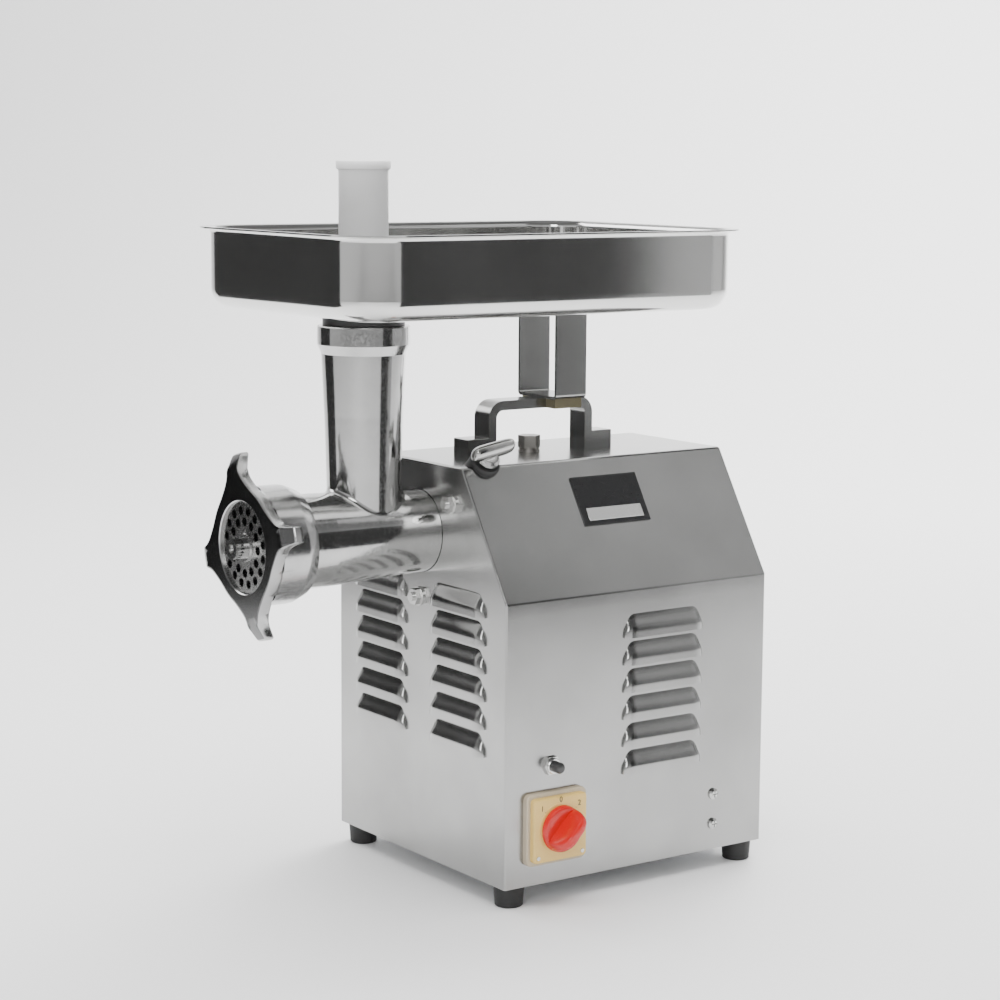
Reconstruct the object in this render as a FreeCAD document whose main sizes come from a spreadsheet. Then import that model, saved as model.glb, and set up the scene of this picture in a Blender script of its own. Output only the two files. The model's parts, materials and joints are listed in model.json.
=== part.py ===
"""Bench-top electric meat grinder, 82 mm hole plate, as a parametric FreeCAD document.

Row frame: millimetres, +Z up, origin on the worktop at the centre of the four feet.
-Y is the front, where the grinding head is; +X is the side with the switch.
"""
import FreeCAD, Part
import math
import os
import re

Vector = FreeCAD.Vector
Rotation = FreeCAD.Rotation
Placement = FreeCAD.Placement

doc = FreeCAD.newDocument("meat_grinder")

# ---------------------------------------------------------------- driving dimensions

SIZES = {
    # casing
    "casing_width": 260.0,
    "casing_length": 280.0,
    "casing_height": 347.5,
    "side_height": 241.5,
    "chamfer_inset": 65.6,
    "sheet": 1.5,
    "bend_radius": 4.0,
    "panel_gap": 0.2,
    # feet and floor pan
    "foot_height": 18.0,
    "foot_top_radius": 13.2,
    "foot_bottom_radius": 12.0,
    "foot_inset": 15.0,
    "pan_sheet": 2.0,
    "pan_ear_height": 62.0,
    "pan_ear_width": 30.0,
    "side_screw_low": 23.0,
    "side_screw_high": 50.0,
    "side_screw_from_back": 55.6,
    # louvres
    "louvre_count": 6.0,
    "louvre_pitch": 23.7,
    "louvre_rise": 17.0,
    "louvre_depth": 6.0,
    "louvre_lip": 4.0,
    "side_louvre_length": 86.0,
    "side_louvre_from_front": 164.8,
    "side_louvre_lowest": 82.5,
    "end_louvre_length": 78.0,
    "end_louvre_offset": 60.0,
    "end_louvre_lowest": 107.5,
    # drive line
    "axis_height": 287.0,
    "first_module": 2.0,
    "first_pinion_teeth": 17.0,
    "idler_teeth": 45.0,
    "second_module": 2.0,
    "second_pinion_teeth": 18.0,
    "output_teeth": 46.0,
    "first_gear_width": 18.0,
    "second_gear_width": 26.0,
    "tooth_play": 0.12,
    "running_gap": 0.04,
    "free_gap": 0.3,
    "case_front": 50.0,
    "case_depth": 74.0,
    "case_wall": 7.0,
    "case_front_wall": 16.0,
    "cover_thickness": 12.0,
    "output_journal": 20.0,
    "output_rear_journal": 14.0,
    "idler_journal": 8.5,
    "motor_journal": 10.0,
    "motor_radius": 75.0,
    "motor_length": 112.0,
    "rotor_radius": 39.6,
    "air_gap": 0.5,
    # head socket and locking screw
    "shank_radius": 32.0,
    "shank_length": 33.0,
    "socket_radius": 48.0,
    "socket_bolt_circle": 57.5,
    "socket_bolt_radius": 4.0,
    "lock_angle": 45.0,
    "lock_from_front": 24.0,
    "lock_thread_radius": 6.0,
    "grommet_radius": 12.0,
    "lock_reach": 86.0,
    # grinding head
    "shoulder_step": 3.6,
    "barrel_front_radius": 40.0,
    "bore_radius": 31.3,
    "plate_radius": 41.0,
    "plate_thickness": 9.6,
    "plate_hole_radius": 3.7,
    "nut_front": 173.5,
    "nut_radius": 49.5,
    "nut_lip": 2.6,
    "lug_tip_radius": 78.0,
    "neck_from_front": 56.0,
    "neck_bore": 26.0,
    "neck_bottom_radius": 31.6,
    "neck_top_radius": 35.6,
    "collar_radius": 38.9,
    "collar_height": 15.6,
    "neck_top": 465.0,
    "auger_gap": 0.7,
    "tang_square": 18.6,
    # tray, pusher and support
    "tray_half_width": 135.5,
    "tray_half_length": 194.3,
    "tray_from_front": 52.2,
    "tray_corner": 40.0,
    "tray_floor_radius": 17.0,
    "tray_underside": 476.0,
    "tray_rim_height": 544.5,
    "tray_rim_width": 9.0,
    "tray_sheet": 1.2,
    "tray_flare": 4.6,
    "pusher_radius": 20.8,
    "pusher_flange_radius": 22.9,
    "pusher_top": 601.0,
    "spigot_bore": 24.0,
    # handle
    "handle_front": 64.3,
    "handle_length": 112.0,
    "handle_width": 22.0,
    "handle_bar": 8.2,
    "handle_rise": 47.3,
    "handle_bend": 7.0,
    "handle_foot_length": 21.5,
    "handle_foot_height": 15.6,
    "support_half_gap": 26.0,
    "support_width": 32.5,
    "support_from_front": 139.6,
    "support_sheet": 2.5,
    "plug_from_front": 115.3,
    # switch and overload button
    "switch_from_front": 49.5,
    "switch_height": 48.8,
    "switch_frame_half": 31.0,
    "switch_plate_half": 27.4,
    "switch_frame_depth": 5.5,
    "switch_plate_depth": 5.5,
    "switch_knob_radius": 19.0,
    "switch_knob_depth": 24.0,
    "reset_from_front": 47.0,
    "reset_height": 101.0,
    # badge
    "badge_length": 71.0,
    "badge_width": 45.6,
    "badge_from_front": 139.8,
    "badge_down_slope": 40.2,
}

sheet = doc.addObject("Spreadsheet::Sheet", "Sizes")
for row, (alias, size) in enumerate(SIZES.items(), start=1):
    sheet.set(f"A{row}", alias)
    sheet.set(f"B{row}", str(size))
    sheet.setAlias(f"B{row}", alias)
doc.recompute()

ALIAS = re.compile(r"\b(" + "|".join(sorted(SIZES, key=len, reverse=True)) + r")\b")


def formula(text):
    """Turn an expression in plain size names into one that reads the Sizes sheet."""
    return ALIAS.sub(lambda found: "Sizes." + found.group(1), str(text))


def value(text):
    """The present value of an expression in plain size names."""
    number = sheet.evalExpression(formula(text))
    return float(getattr(number, "Value", number))


# Places that many pieces share, as expressions.
FRONT = "(0 - casing_length/2)"
BACK = "(casing_length/2)"
SIDE = "(casing_width/2)"
UNDER = "foot_height"
ROOF = "(foot_height + casing_height)"
HANDLE_TOP = "(casing_height + handle_rise)"
SHOULDER = "(shank_radius + shoulder_step)"
HEAD_Z = "(foot_height + axis_height)"
FIRST_CENTRES = "(first_module*(first_pinion_teeth + idler_teeth)/2)"
SECOND_CENTRES = "(second_module*(second_pinion_teeth + output_teeth)/2)"
IDLER_Z = f"({HEAD_Z} - {SECOND_CENTRES})"
MOTOR_Z = f"({IDLER_Z} - {FIRST_CENTRES})"
CASE_FRONT = f"({FRONT} + case_front)"
CASE_BACK = f"({CASE_FRONT} + case_depth)"
COVER_BACK = f"({CASE_BACK} + cover_thickness)"
MOTOR_BACK = f"({COVER_BACK} + motor_length)"
CHAMFER_RISE = "(casing_height - side_height)"
CHAMFER_SLOPE = f"sqrt(chamfer_inset^2 + {CHAMFER_RISE}^2)"
CHAMFER_OUT = f"({CHAMFER_RISE}/{CHAMFER_SLOPE})"
CHAMFER_UP = f"(chamfer_inset/{CHAMFER_SLOPE})"
ROOF_HALF = "(casing_width/2 - chamfer_inset)"
NECK_Y = f"({FRONT} - neck_from_front)"
TRAY_Y = f"({FRONT} + tray_from_front)"
NUT_FRONT = "(0 - nut_front)"
PLATE_FRONT = "(nut_lip + running_gap - nut_front)"
PLATE_BACK = f"({PLATE_FRONT} + plate_thickness)"
AUGER_RADIUS = "(bore_radius - auger_gap)"

nodes = []


# ---------------------------------------------------------------- helpers

def tie(item, prop, text):
    """Bind one property of an object to an expression of the sheet."""
    item.setExpression(prop, formula(text))


def put(item, x="0", y="0", z="0"):
    """Bind an object's place to three expressions."""
    for letter, text in zip("xyz", (x, y, z)):
        tie(item, f"Placement.Base.{letter}", text)


def lean_at(item, angle, x, y, z):
    """Turn an object about the Y axis and place it, all by expression."""
    item.Placement = Placement(Vector(), Rotation(Vector(0, 1, 0), value(angle)))
    tie(item, "Placement.Rotation.Angle", angle)
    put(item, x, y, z)


def keep(item, label):
    """Give a finished sub-part its node name and list it for export."""
    item.Label = label
    nodes.append(item)
    return item


def new_body(label, place=("0", "0", "0"), export=True, lean=None):
    """An empty body; lean is an expression for a turn about the Y axis."""
    body = doc.addObject("PartDesign::Body", label)
    if lean:
        body.Placement = Placement(Vector(), Rotation(Vector(0, 1, 0), value(lean)))
        tie(body, "Placement.Rotation.Angle", lean)
    put(body, *place)
    if export:
        keep(body, label)
    return body


def new_sketch(body, plane, offset="0"):
    """A sketch on one of the body's own origin planes, moved along the plane's normal."""
    sketch = body.newObject("Sketcher::SketchObject", body.Name + "_sketch")
    origin = [item for item in body.Origin.OriginFeatures if item.Role == plane]
    sketch.AttachmentSupport = [(origin[0], "")]
    sketch.MapMode = "FlatFace"
    tie(sketch, "AttachmentOffset.Base.z", offset)
    return sketch


def hold(sketch, kind, *target):
    """Add a dimension whose last argument is an expression, and bind it to the sheet."""
    text = target[-1]
    number = value(text)
    import Sketcher
    index = sketch.addConstraint(Sketcher.Constraint(kind, *target[:-1], number))
    tie(sketch, f"Constraints[{index}]", text)


def polygon(sketch, points):
    """A closed outline with straight sides, each corner held by two expressions."""
    import Sketcher
    corners = [Vector(value(a), value(b), 0) for a, b in points]
    count = len(corners)
    first = sketch.GeometryCount
    for index in range(count):
        sketch.addGeometry(Part.LineSegment(corners[index], corners[(index + 1) % count]), False)
    for index in range(count):
        after = first + (index + 1) % count
        sketch.addConstraint(Sketcher.Constraint("Coincident", first + index, 2, after, 1))
    for index, (a, b) in enumerate(points):
        hold(sketch, "DistanceX", -1, 1, first + index, 1, a)
        hold(sketch, "DistanceY", -1, 1, first + index, 1, b)


def circle(sketch, x, y, radius):
    centre = Vector(value(x), value(y), 0)
    index = sketch.addGeometry(Part.Circle(centre, Vector(0, 0, 1), value(radius)), False)
    hold(sketch, "DistanceX", -1, 1, index, 3, x)
    hold(sketch, "DistanceY", -1, 1, index, 3, y)
    hold(sketch, "Radius", index, radius)


def rectangle(sketch, low_x, high_x, low_y, high_y):
    polygon(sketch, [(low_x, low_y), (high_x, low_y), (high_x, high_y), (low_x, high_y)])


def round_rectangle(sketch, half_x, half_y, radius):
    """A rectangle about the sketch origin with tangent corner arcs."""
    import Sketcher
    a, b, r = value(half_x), value(half_y), value(radius)
    up = Vector(0, 0, 1)
    corners = [(a - r, b - r), (r - a, b - r), (r - a, r - b), (a - r, r - b)]
    starts = [(a - r, b), (-a, b - r), (r - a, -b), (a, r - b)]
    ends = [(r - a, b), (-a, r - b), (a - r, -b), (a, b - r)]
    for index in range(4):
        line = Part.LineSegment(Vector(*starts[index], 0), Vector(*ends[index], 0))
        sketch.addGeometry(line, False)
        x, y = corners[(index + 1) % 4]
        turn = (index + 1) * math.pi / 2
        arc = Part.ArcOfCircle(Part.Circle(Vector(x, y, 0), up, r), turn, turn + math.pi / 2)
        sketch.addGeometry(arc, False)
    for index in range(4):
        line, arc, after = 2 * index, 2 * index + 1, (2 * index + 2) % 8
        sketch.addConstraint(Sketcher.Constraint("Tangent", line, 2, arc, 1))
        sketch.addConstraint(Sketcher.Constraint("Tangent", arc, 2, after, 1))
        sketch.addConstraint(Sketcher.Constraint("Horizontal" if index % 2 == 0 else "Vertical", line))
    hold(sketch, "DistanceY", -1, 1, 0, 1, half_y)
    hold(sketch, "DistanceY", 4, 1, -1, 1, half_y)
    hold(sketch, "DistanceX", 2, 1, -1, 1, half_x)
    hold(sketch, "DistanceX", -1, 1, 6, 1, half_x)
    for index in (1, 3, 5, 7):
        hold(sketch, "Radius", index, radius)


def add_feature(body, kind, sketch, text, reverse, both_ways):
    feature = body.newObject("PartDesign::" + kind, body.Name + "_" + kind.lower())
    feature.Profile = sketch
    feature.SideType = "Symmetric" if both_ways else "One side"
    feature.Reversed = reverse
    tie(feature, "Length", text)
    sketch.Visibility = False
    return feature


def pad(body, sketch, length, reverse=False, both_ways=False):
    return add_feature(body, "Pad", sketch, length, reverse, both_ways)


def pocket(body, sketch, length, reverse=False, both_ways=False):
    """A cut, with proof that it removed something."""
    doc.recompute()
    before = body.Shape.Volume
    feature = add_feature(body, "Pocket", sketch, length, reverse, both_ways)
    doc.recompute()
    if body.Shape.Volume > before - 0.01:
        raise ValueError(f"{body.Label}: a pocket cut nothing")
    return feature


def spin(body, sketch, axis, kind="Revolution"):
    feature = body.newObject("PartDesign::" + kind, body.Name + "_" + kind.lower())
    feature.Profile = sketch
    feature.ReferenceAxis = (sketch, [axis])
    feature.Angle = 360
    sketch.Visibility = False
    return feature


def turned(label, points, place=("0", "0", "0"), export=True):
    """A piece turned about its own Y axis; points are (along Y, radius)."""
    body = new_body(label, place, export)
    sketch = new_sketch(body, "YZ_Plane")
    polygon(sketch, points)
    spin(body, sketch, "H_Axis")
    return body


def standing(label, points, place=("0", "0", "0"), export=True, lean=None):
    """A piece turned about its own Z axis; points are (radius, height)."""
    body = new_body(label, place, export, lean)
    sketch = new_sketch(body, "XZ_Plane")
    polygon(sketch, points)
    spin(body, sketch, "V_Axis")
    return body


def polar(body, feature, sketch, count, axis="N_Axis"):
    """Repeat a feature round the sketch's normal."""
    pattern = body.newObject("PartDesign::PolarPattern", body.Name + "_polar")
    pattern.Originals = [feature]
    pattern.Axis = (sketch, [axis])
    pattern.Angle = 360
    pattern.Occurrences = int(value(count))
    body.Tip = pattern
    return pattern


def column(body, feature, sketch, count, pitch):
    """Repeat a feature upwards from its sketch."""
    pattern = body.newObject("PartDesign::LinearPattern", body.Name + "_column")
    pattern.Originals = [feature]
    pattern.Direction = (sketch, ["V_Axis"])
    pattern.Occurrences = int(value(count))
    tie(pattern, "Length", f"({count} - 1)*{pitch}")
    body.Tip = pattern
    return pattern


def edge_names(shape, test):
    return [f"Edge{index}" for index, edge in enumerate(shape.Edges, start=1) if test(edge)]


def fillet(body, base, radius, test):
    """Round the edges of the body's last feature that pass a test."""
    doc.recompute()
    names = edge_names(base.Shape, test)
    if not names:
        raise ValueError(f"{body.Label}: no edge to round")
    feature = body.newObject("PartDesign::Fillet", body.Name + "_fillet")
    feature.Base = (base, names)
    tie(feature, "Radius", radius)
    body.Tip = feature
    return feature


def along(edge, direction):
    """True for a straight edge that runs along a direction."""
    if not isinstance(edge.Curve, Part.Line):
        return False
    return abs(abs(edge.Curve.Direction * direction) - 1) < 1e-6


def shaped(label, shape, place=("0", "0", "0"), export=True):
    """A sub-part whose shape is worked out with Part's own functions."""
    item = doc.addObject("Part::Feature", label)
    item.Shape = shape
    put(item, *place)
    if export:
        keep(item, label)
    return item


def copies(label, source, places):
    """Identical fasteners as separate solids of one node; places are Placements."""
    doc.recompute()
    one = source.Shape
    solids = []
    for place in places:
        solid = one.copy()
        solid.Placement = place.multiply(solid.Placement)
        solids.append(solid)
    return shaped(label, Part.makeCompound(solids))


def at(x, y, z, axis=None, angle=0.0):
    turn = Rotation(axis, angle) if axis else Rotation()
    return Placement(Vector(value(x), value(y), value(z)), turn)


X_AXIS = Vector(1, 0, 0)
Y_AXIS = Vector(0, 1, 0)
Z_AXIS = Vector(0, 0, 1)


# ---------------------------------------------------------------- casing

def louvre(body, plane, wall, outward, centre, length, lowest):
    """A column of pressed hoods, open downwards, on the wall at a given place."""
    lip = f"({UNDER} + {lowest})"
    crest = f"({wall} + ({outward})*louvre_depth)"
    inside = f"({wall} + ({outward})*(louvre_depth - sheet))"
    deep = f"({wall} - ({outward})*2*sheet)"
    mid_wall = f"({wall} - ({outward})*sheet/2)"
    hood = new_sketch(body, plane, centre)
    polygon(hood, [
        (mid_wall, lip),
        (crest, lip),
        (crest, f"{lip} + louvre_lip"),
        (wall, f"{lip} + louvre_rise"),
        (mid_wall, f"{lip} + louvre_rise"),
    ])
    column(body, pad(body, hood, length, both_ways=True), hood, "louvre_count", "louvre_pitch")
    mouth = new_sketch(body, plane, centre)
    just_out = f"({wall} + ({outward})*0.05)"
    polygon(mouth, [
        (deep, lip),
        (just_out, lip),
        (just_out, f"{lip} - 1"),
        (inside, f"{lip} - 1"),
        (inside, f"{lip} + louvre_lip - 0.5"),
        (deep, f"{lip} + louvre_rise - 2*sheet"),
    ])
    cut = pocket(body, mouth, f"{length} - 2*sheet", both_ways=True)
    column(body, cut, mouth, "louvre_count", "louvre_pitch")


def make_casing():
    """One folded sheet for both sides, both chamfers and the roof."""
    body = new_body("casing_wrap")
    outline = new_sketch(body, "XZ_Plane")
    inner_side = f"({SIDE} - sheet)"
    inner_knee = f"({UNDER} + side_height - sheet*(1 - {CHAMFER_OUT})/{CHAMFER_UP})"
    inner_roof = f"({ROOF} - sheet)"
    inner_half = f"({ROOF_HALF} - sheet*(1 - {CHAMFER_UP})/{CHAMFER_OUT})"
    right = [(SIDE, UNDER), (SIDE, f"{UNDER} + side_height"), (ROOF_HALF, ROOF)]
    right_in = [(inner_half, inner_roof), (inner_side, inner_knee), (inner_side, UNDER)]
    left = [(f"0 - {x}", z) for x, z in reversed(right)]
    left_in = [(f"0 - {x}", z) for x, z in reversed(right_in)]
    polygon(outline, right + left + left_in + right_in)
    folded = pad(body, outline, "casing_length", both_ways=True)
    doc.recompute()

    def outer_bend(edge):
        if not along(edge, Y_AXIS):
            return False
        point = edge.Vertexes[0].Point
        on_knee = abs(abs(point.x) - value(SIDE)) < 0.01 and point.z > value(f"{UNDER} + 1")
        on_roof = abs(abs(point.x) - value(ROOF_HALF)) < 0.01 and point.z > value(f"{ROOF} - 0.01")
        return on_knee or on_roof

    fillet(body, folded, "bend_radius", outer_bend)
    middle = f"0 - ({FRONT} + side_louvre_from_front)"
    for side in ("1", "-1"):
        louvre(body, "XZ_Plane", f"({side}*{SIDE})", side, middle, "side_louvre_length",
               "side_louvre_lowest")
    holes = new_sketch(body, "XY_Plane", f"{ROOF} - 2*sheet")
    for y in ("handle_front - handle_foot_length/2",
              "handle_front + handle_length + handle_foot_length/2"):
        circle(holes, "0", f"{FRONT} + {y}", "4.3")
    circle(holes, "0", f"{FRONT} + plug_from_front", "8.6")
    pocket(body, holes, "4*sheet", reverse=True)
    side_holes = new_sketch(body, "YZ_Plane", f"{SIDE} - 2*sheet")
    circle(side_holes, f"{FRONT} + switch_from_front", f"{UNDER} + switch_height", "16")
    circle(side_holes, f"{FRONT} + reset_from_front", f"{UNDER} + reset_height", "5.3")
    pocket(body, side_holes, "4*sheet", reverse=True)
    screw_holes = new_sketch(body, "YZ_Plane")
    for z in ("side_screw_low", "side_screw_high"):
        circle(screw_holes, f"{BACK} - side_screw_from_back", f"{UNDER} + {z}", "2.6")
    pocket(body, screw_holes, "casing_width + 10", both_ways=True)
    lock = doc.addObject("Part::Cylinder", "lock_hole_tool")
    tie(lock, "Radius", "grommet_radius")
    tie(lock, "Height", "chamfer_inset + 50")
    lean_at(lock, "lock_angle", "0", f"{FRONT} + lock_from_front", HEAD_Z)
    nodes.remove(body)
    body.Label = "casing_fold"
    cut = doc.addObject("Part::Cut", "casing_wrap")
    cut.Base = body
    cut.Tool = lock
    keep(cut, "casing_wrap")


def end_outline(gap):
    """Corner points of an end panel that fits inside the folded casing."""
    side = f"({SIDE} - sheet - {gap})"
    knee = f"({UNDER} + side_height - (sheet + {gap})*(1 - {CHAMFER_OUT})/{CHAMFER_UP})"
    top = f"({ROOF} - sheet - {gap})"
    half = f"({ROOF_HALF} - (sheet + {gap})*(1 - {CHAMFER_UP})/{CHAMFER_OUT})"
    right = [(side, UNDER), (side, knee), (half, top)]
    return right + [(f"0 - {x}", z) for x, z in reversed(right)]


def bolt_places():
    """The three socket bolts: one below the head axis and two above it."""
    for degrees in (-90, 30, 150):
        yield (f"(socket_bolt_circle*cos({degrees}))", f"(socket_bolt_circle*sin({degrees}))")


def make_end_panels():
    front = new_body("front_panel")
    outline = new_sketch(front, "XZ_Plane", f"0 - {FRONT}")
    polygon(outline, end_outline("panel_gap"))
    pad(front, outline, "sheet", reverse=True)
    holes = new_sketch(front, "XZ_Plane", f"0 - {FRONT}")
    circle(holes, "0", HEAD_Z, f"{SHOULDER} + 0.6")
    for x, z in bolt_places():
        circle(holes, x, f"{HEAD_Z} + {z}", "socket_bolt_radius + 0.3")
    pocket(front, holes, "2*sheet")
    for x in ("-1", "1"):
        louvre(front, "YZ_Plane", FRONT, "-1", f"{x}*end_louvre_offset", "end_louvre_length",
               "end_louvre_lowest")

    rear = new_body("rear_panel")
    outline = new_sketch(rear, "XZ_Plane", f"0 - {BACK}")
    polygon(outline, end_outline("panel_gap"))
    pad(rear, outline, "sheet")
    holes = new_sketch(rear, "XZ_Plane", f"0 - {BACK}")
    circle(holes, "0 - end_louvre_offset", f"{UNDER} + 40", "8.3")
    pocket(rear, holes, "2*sheet", reverse=True)
    for x in ("-1", "1"):
        louvre(rear, "YZ_Plane", BACK, "1", f"{x}*end_louvre_offset", "end_louvre_length",
               "end_louvre_lowest")


def make_floor():
    """Floor pan with two screw ears, on four rubber feet."""
    pan = new_body("floor_pan")
    plate = new_sketch(pan, "XY_Plane", UNDER)
    half_x = f"({SIDE} - sheet - panel_gap)"
    half_y = f"({BACK} - sheet - panel_gap)"
    rectangle(plate, f"0 - {half_x}", half_x, f"0 - {half_y}", half_y)
    pad(pan, plate, "pan_sheet")
    ear_y = f"({BACK} - side_screw_from_back)"
    for side in ("1", "-1"):
        ear = new_sketch(pan, "YZ_Plane", f"{side}*{half_x}")
        rectangle(ear, f"{ear_y} - pan_ear_width/2", f"{ear_y} + pan_ear_width/2",
                  UNDER, f"{UNDER} + pan_ear_height")
        pad(pan, ear, "pan_sheet", reverse=side == "1")
    holes = new_sketch(pan, "YZ_Plane")
    for z in ("side_screw_low", "side_screw_high"):
        circle(holes, ear_y, f"{UNDER} + {z}", "2.5")
    pocket(pan, holes, "casing_width", both_ways=True)
    foot_x = f"({SIDE} - foot_inset)"
    foot_y = f"({BACK} - foot_inset)"
    bores = new_sketch(pan, "XY_Plane", UNDER)
    for x in ("1", "-1"):
        for y in ("1", "-1"):
            circle(bores, f"{x}*{foot_x}", f"{y}*{foot_y}", "2.5")
    pocket(pan, bores, "3*pan_sheet", reverse=True)
    corners = [(x, y) for x in (1, -1) for y in (1, -1)]
    foot = standing("one_foot", [
        ("2.6", "foot_height"), ("2.6", "7"), ("6", "7"), ("6", "0"), ("foot_bottom_radius - 1", "0"),
        ("foot_bottom_radius", "1"), ("foot_top_radius", "foot_height"),
    ], export=False)
    copies("rubber_feet", foot, [at(f"{x}*{foot_x}", f"{y}*{foot_y}", "0") for x, y in corners])
    screw = standing("one_foot_screw", [
        ("0", "3.5"), ("4.8", "3.5"), ("4.8", "6"), ("4", "7"), ("2.5", "7"),
        ("2.5", "foot_height + pan_sheet + 5"), ("0", "foot_height + pan_sheet + 5"),
    ], export=False)
    copies("foot_screws", screw, [at(f"{x}*{foot_x}", f"{y}*{foot_y}", "0") for x, y in corners])
    side_screw = pan_head_screw("one_side_screw", "2.5", "4.9", "2.8", "9")
    places = []
    for z in ("side_screw_low", "side_screw_high"):
        places.append(at(SIDE, ear_y, f"{UNDER} + {z}", Y_AXIS, 90))
        places.append(at(f"0 - {SIDE}", ear_y, f"{UNDER} + {z}", Y_AXIS, -90))
    copies("side_screws", side_screw, places)


def pan_head_screw(name, radius, head_radius, head_height, length):
    """A cross-recessed pan head screw whose head rests on the local XY plane."""
    screw = standing(name, [
        ("0", f"0 - {length}"), (radius, f"0 - {length}"), (radius, "0"), (head_radius, "0"),
        (head_radius, f"{head_height}*0.55"), (f"{head_radius}*0.6", head_height), ("0", head_height),
    ], export=False)
    cross = new_sketch(screw, "XY_Plane", head_height)
    long, short = f"({head_radius}*0.6)", f"({head_radius}*0.13)"
    points = [(long, short), (short, short), (short, long)]
    turned_points = []
    for _ in range(4):
        turned_points += points
        points = [(f"(0 - {y})", x) for x, y in points]
    polygon(cross, turned_points)
    pocket(screw, cross, f"{head_height}*0.6")
    return screw


def hex_points(across):
    """The six corners of a hexagon of a given width across flats."""
    reach = f"({across}/2/cos(30))"
    return [(f"{reach}*cos({60 * k})", f"{reach}*sin({60 * k})") for k in range(6)]


def hex_bolt(name, radius, across, head_height, length, washer_radius):
    """A hex bolt with its washer; the washer rests on the local XY plane."""
    bolt = standing(name, [
        ("0", f"0 - {length}"), (radius, f"0 - {length}"), (radius, "0"), (washer_radius, "0"),
        (washer_radius, "1.6"), ("0", "1.6"),
    ], export=False)
    head = new_sketch(bolt, "XY_Plane", "1.5")
    polygon(head, hex_points(across))
    pad(bolt, head, f"{head_height} + 0.1")
    return bolt


# ---------------------------------------------------------------- gears and bearings

def tooth_outline(teeth, module, play):
    """Closed wire of a spur gear with involute flanks; one tooth is centred on +X."""
    pitch = module * teeth / 2.0
    base = pitch * math.cos(math.radians(20.0))
    tip = pitch + module
    root = pitch - 1.25 * module
    half_tooth = (math.pi * module / 2.0 - play) / 2.0 / pitch
    at_pitch = math.tan(math.acos(base / pitch)) - math.acos(base / pitch)

    def flank_angle(radius):
        if radius <= base:
            return half_tooth + at_pitch
        press = math.acos(base / radius)
        return half_tooth + at_pitch - (math.tan(press) - press)

    def point(radius, angle):
        return Vector(radius * math.cos(angle), 0, radius * math.sin(angle))

    start = max(base, root)
    radii = [start + (tip - start) * step / 4.0 for step in range(5)]
    edges = []
    for tooth in range(teeth):
        middle = 2 * math.pi * tooth / teeth
        rise = [point(r, middle - flank_angle(r)) for r in radii]
        fall = [point(r, middle + flank_angle(r)) for r in reversed(radii)]
        if root < base:
            foot = point(root, middle - flank_angle(root))
            edges.append(Part.LineSegment(foot, rise[0]).toShape())
        curve = Part.BSplineCurve()
        curve.interpolate(rise)
        edges.append(curve.toShape())
        edges.append(Part.Arc(rise[-1], point(tip, middle), fall[0]).toShape())
        curve = Part.BSplineCurve()
        curve.interpolate(fall)
        edges.append(curve.toShape())
        last = fall[-1]
        if root < base:
            foot = point(root, middle + flank_angle(root))
            edges.append(Part.LineSegment(last, foot).toShape())
            last = foot
        following = middle + 2 * math.pi / teeth
        gap = point(root, middle + math.pi / teeth)
        after = point(root, following - flank_angle(root))
        edges.append(Part.Arc(last, gap, after).toShape())
    return Part.Wire(edges)


def gear_shape(teeth, module, width, bore, turn):
    """Toothed disc along +Y from the local origin, turned by an angle about its axis."""
    teeth = int(value(teeth))
    outline = tooth_outline(teeth, value(module), value("tooth_play"))
    solid = Part.Face(outline).extrude(Vector(0, value(width), 0))
    if bore:
        hole = Part.makeCylinder(value(bore), value(width) + 2, Vector(0, -1, 0), Y_AXIS)
        solid = solid.cut(hole)
    solid.rotate(Vector(), Y_AXIS, turn)
    return solid


def bearings(label, *rows):
    """Shielded ball bearings of one shaft, each a ring with a shield groove on both faces.

    Each row is (inner radius, outer radius, width, y, z).
    """
    rings = []
    for index, (inner, outer, width, y, z) in enumerate(rows):
        ring = one_bearing(f"{label}_{index}", inner, outer, width)
        put(ring, "0", y, z)
        rings.append(ring)
    group = doc.addObject("Part::Compound", label)
    group.Links = rings
    keep(group, label)


def one_bearing(label, inner, outer, width):
    groove_low = f"({inner} + ({outer} - {inner})*0.25)"
    groove_high = f"({inner} + ({outer} - {inner})*0.75)"
    return turned(label, [
        ("0", inner), (width, inner), (width, groove_low), (f"{width} - 0.8", groove_low),
        (f"{width} - 0.8", groove_high), (width, groove_high), (width, outer), ("0", outer),
        ("0", groove_high), ("0.8", groove_high), ("0.8", groove_low), ("0", groove_low),
    ], export=False)


def wrap_discs(body, discs, start, length, cut=False):
    """Pad or pocket the outline that wraps a stack of circles, as (height, radius)."""
    def grow(sketch):
        if cut:
            pocket(body, sketch, length)
        else:
            pad(body, sketch, length, reverse=True)

    for z, radius in discs:
        sketch = new_sketch(body, "XZ_Plane", f"0 - {start}")
        circle(sketch, "0", z, radius)
        grow(sketch)
    for (z_low, low), (z_high, high) in zip(discs[:-1], discs[1:]):
        sine = f"(({low} - {high})/({z_high} - {z_low}))"
        cosine = f"sqrt(1 - {sine}^2)"
        right = [(f"{low}*{cosine}", f"{z_low} + {low}*{sine}"),
                 (f"{high}*{cosine}", f"{z_high} + {high}*{sine}")]
        left = [(f"0 - {x}", z) for x, z in reversed(right)]
        sketch = new_sketch(body, "XZ_Plane", f"0 - {start}")
        polygon(sketch, right + left)
        grow(sketch)


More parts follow.
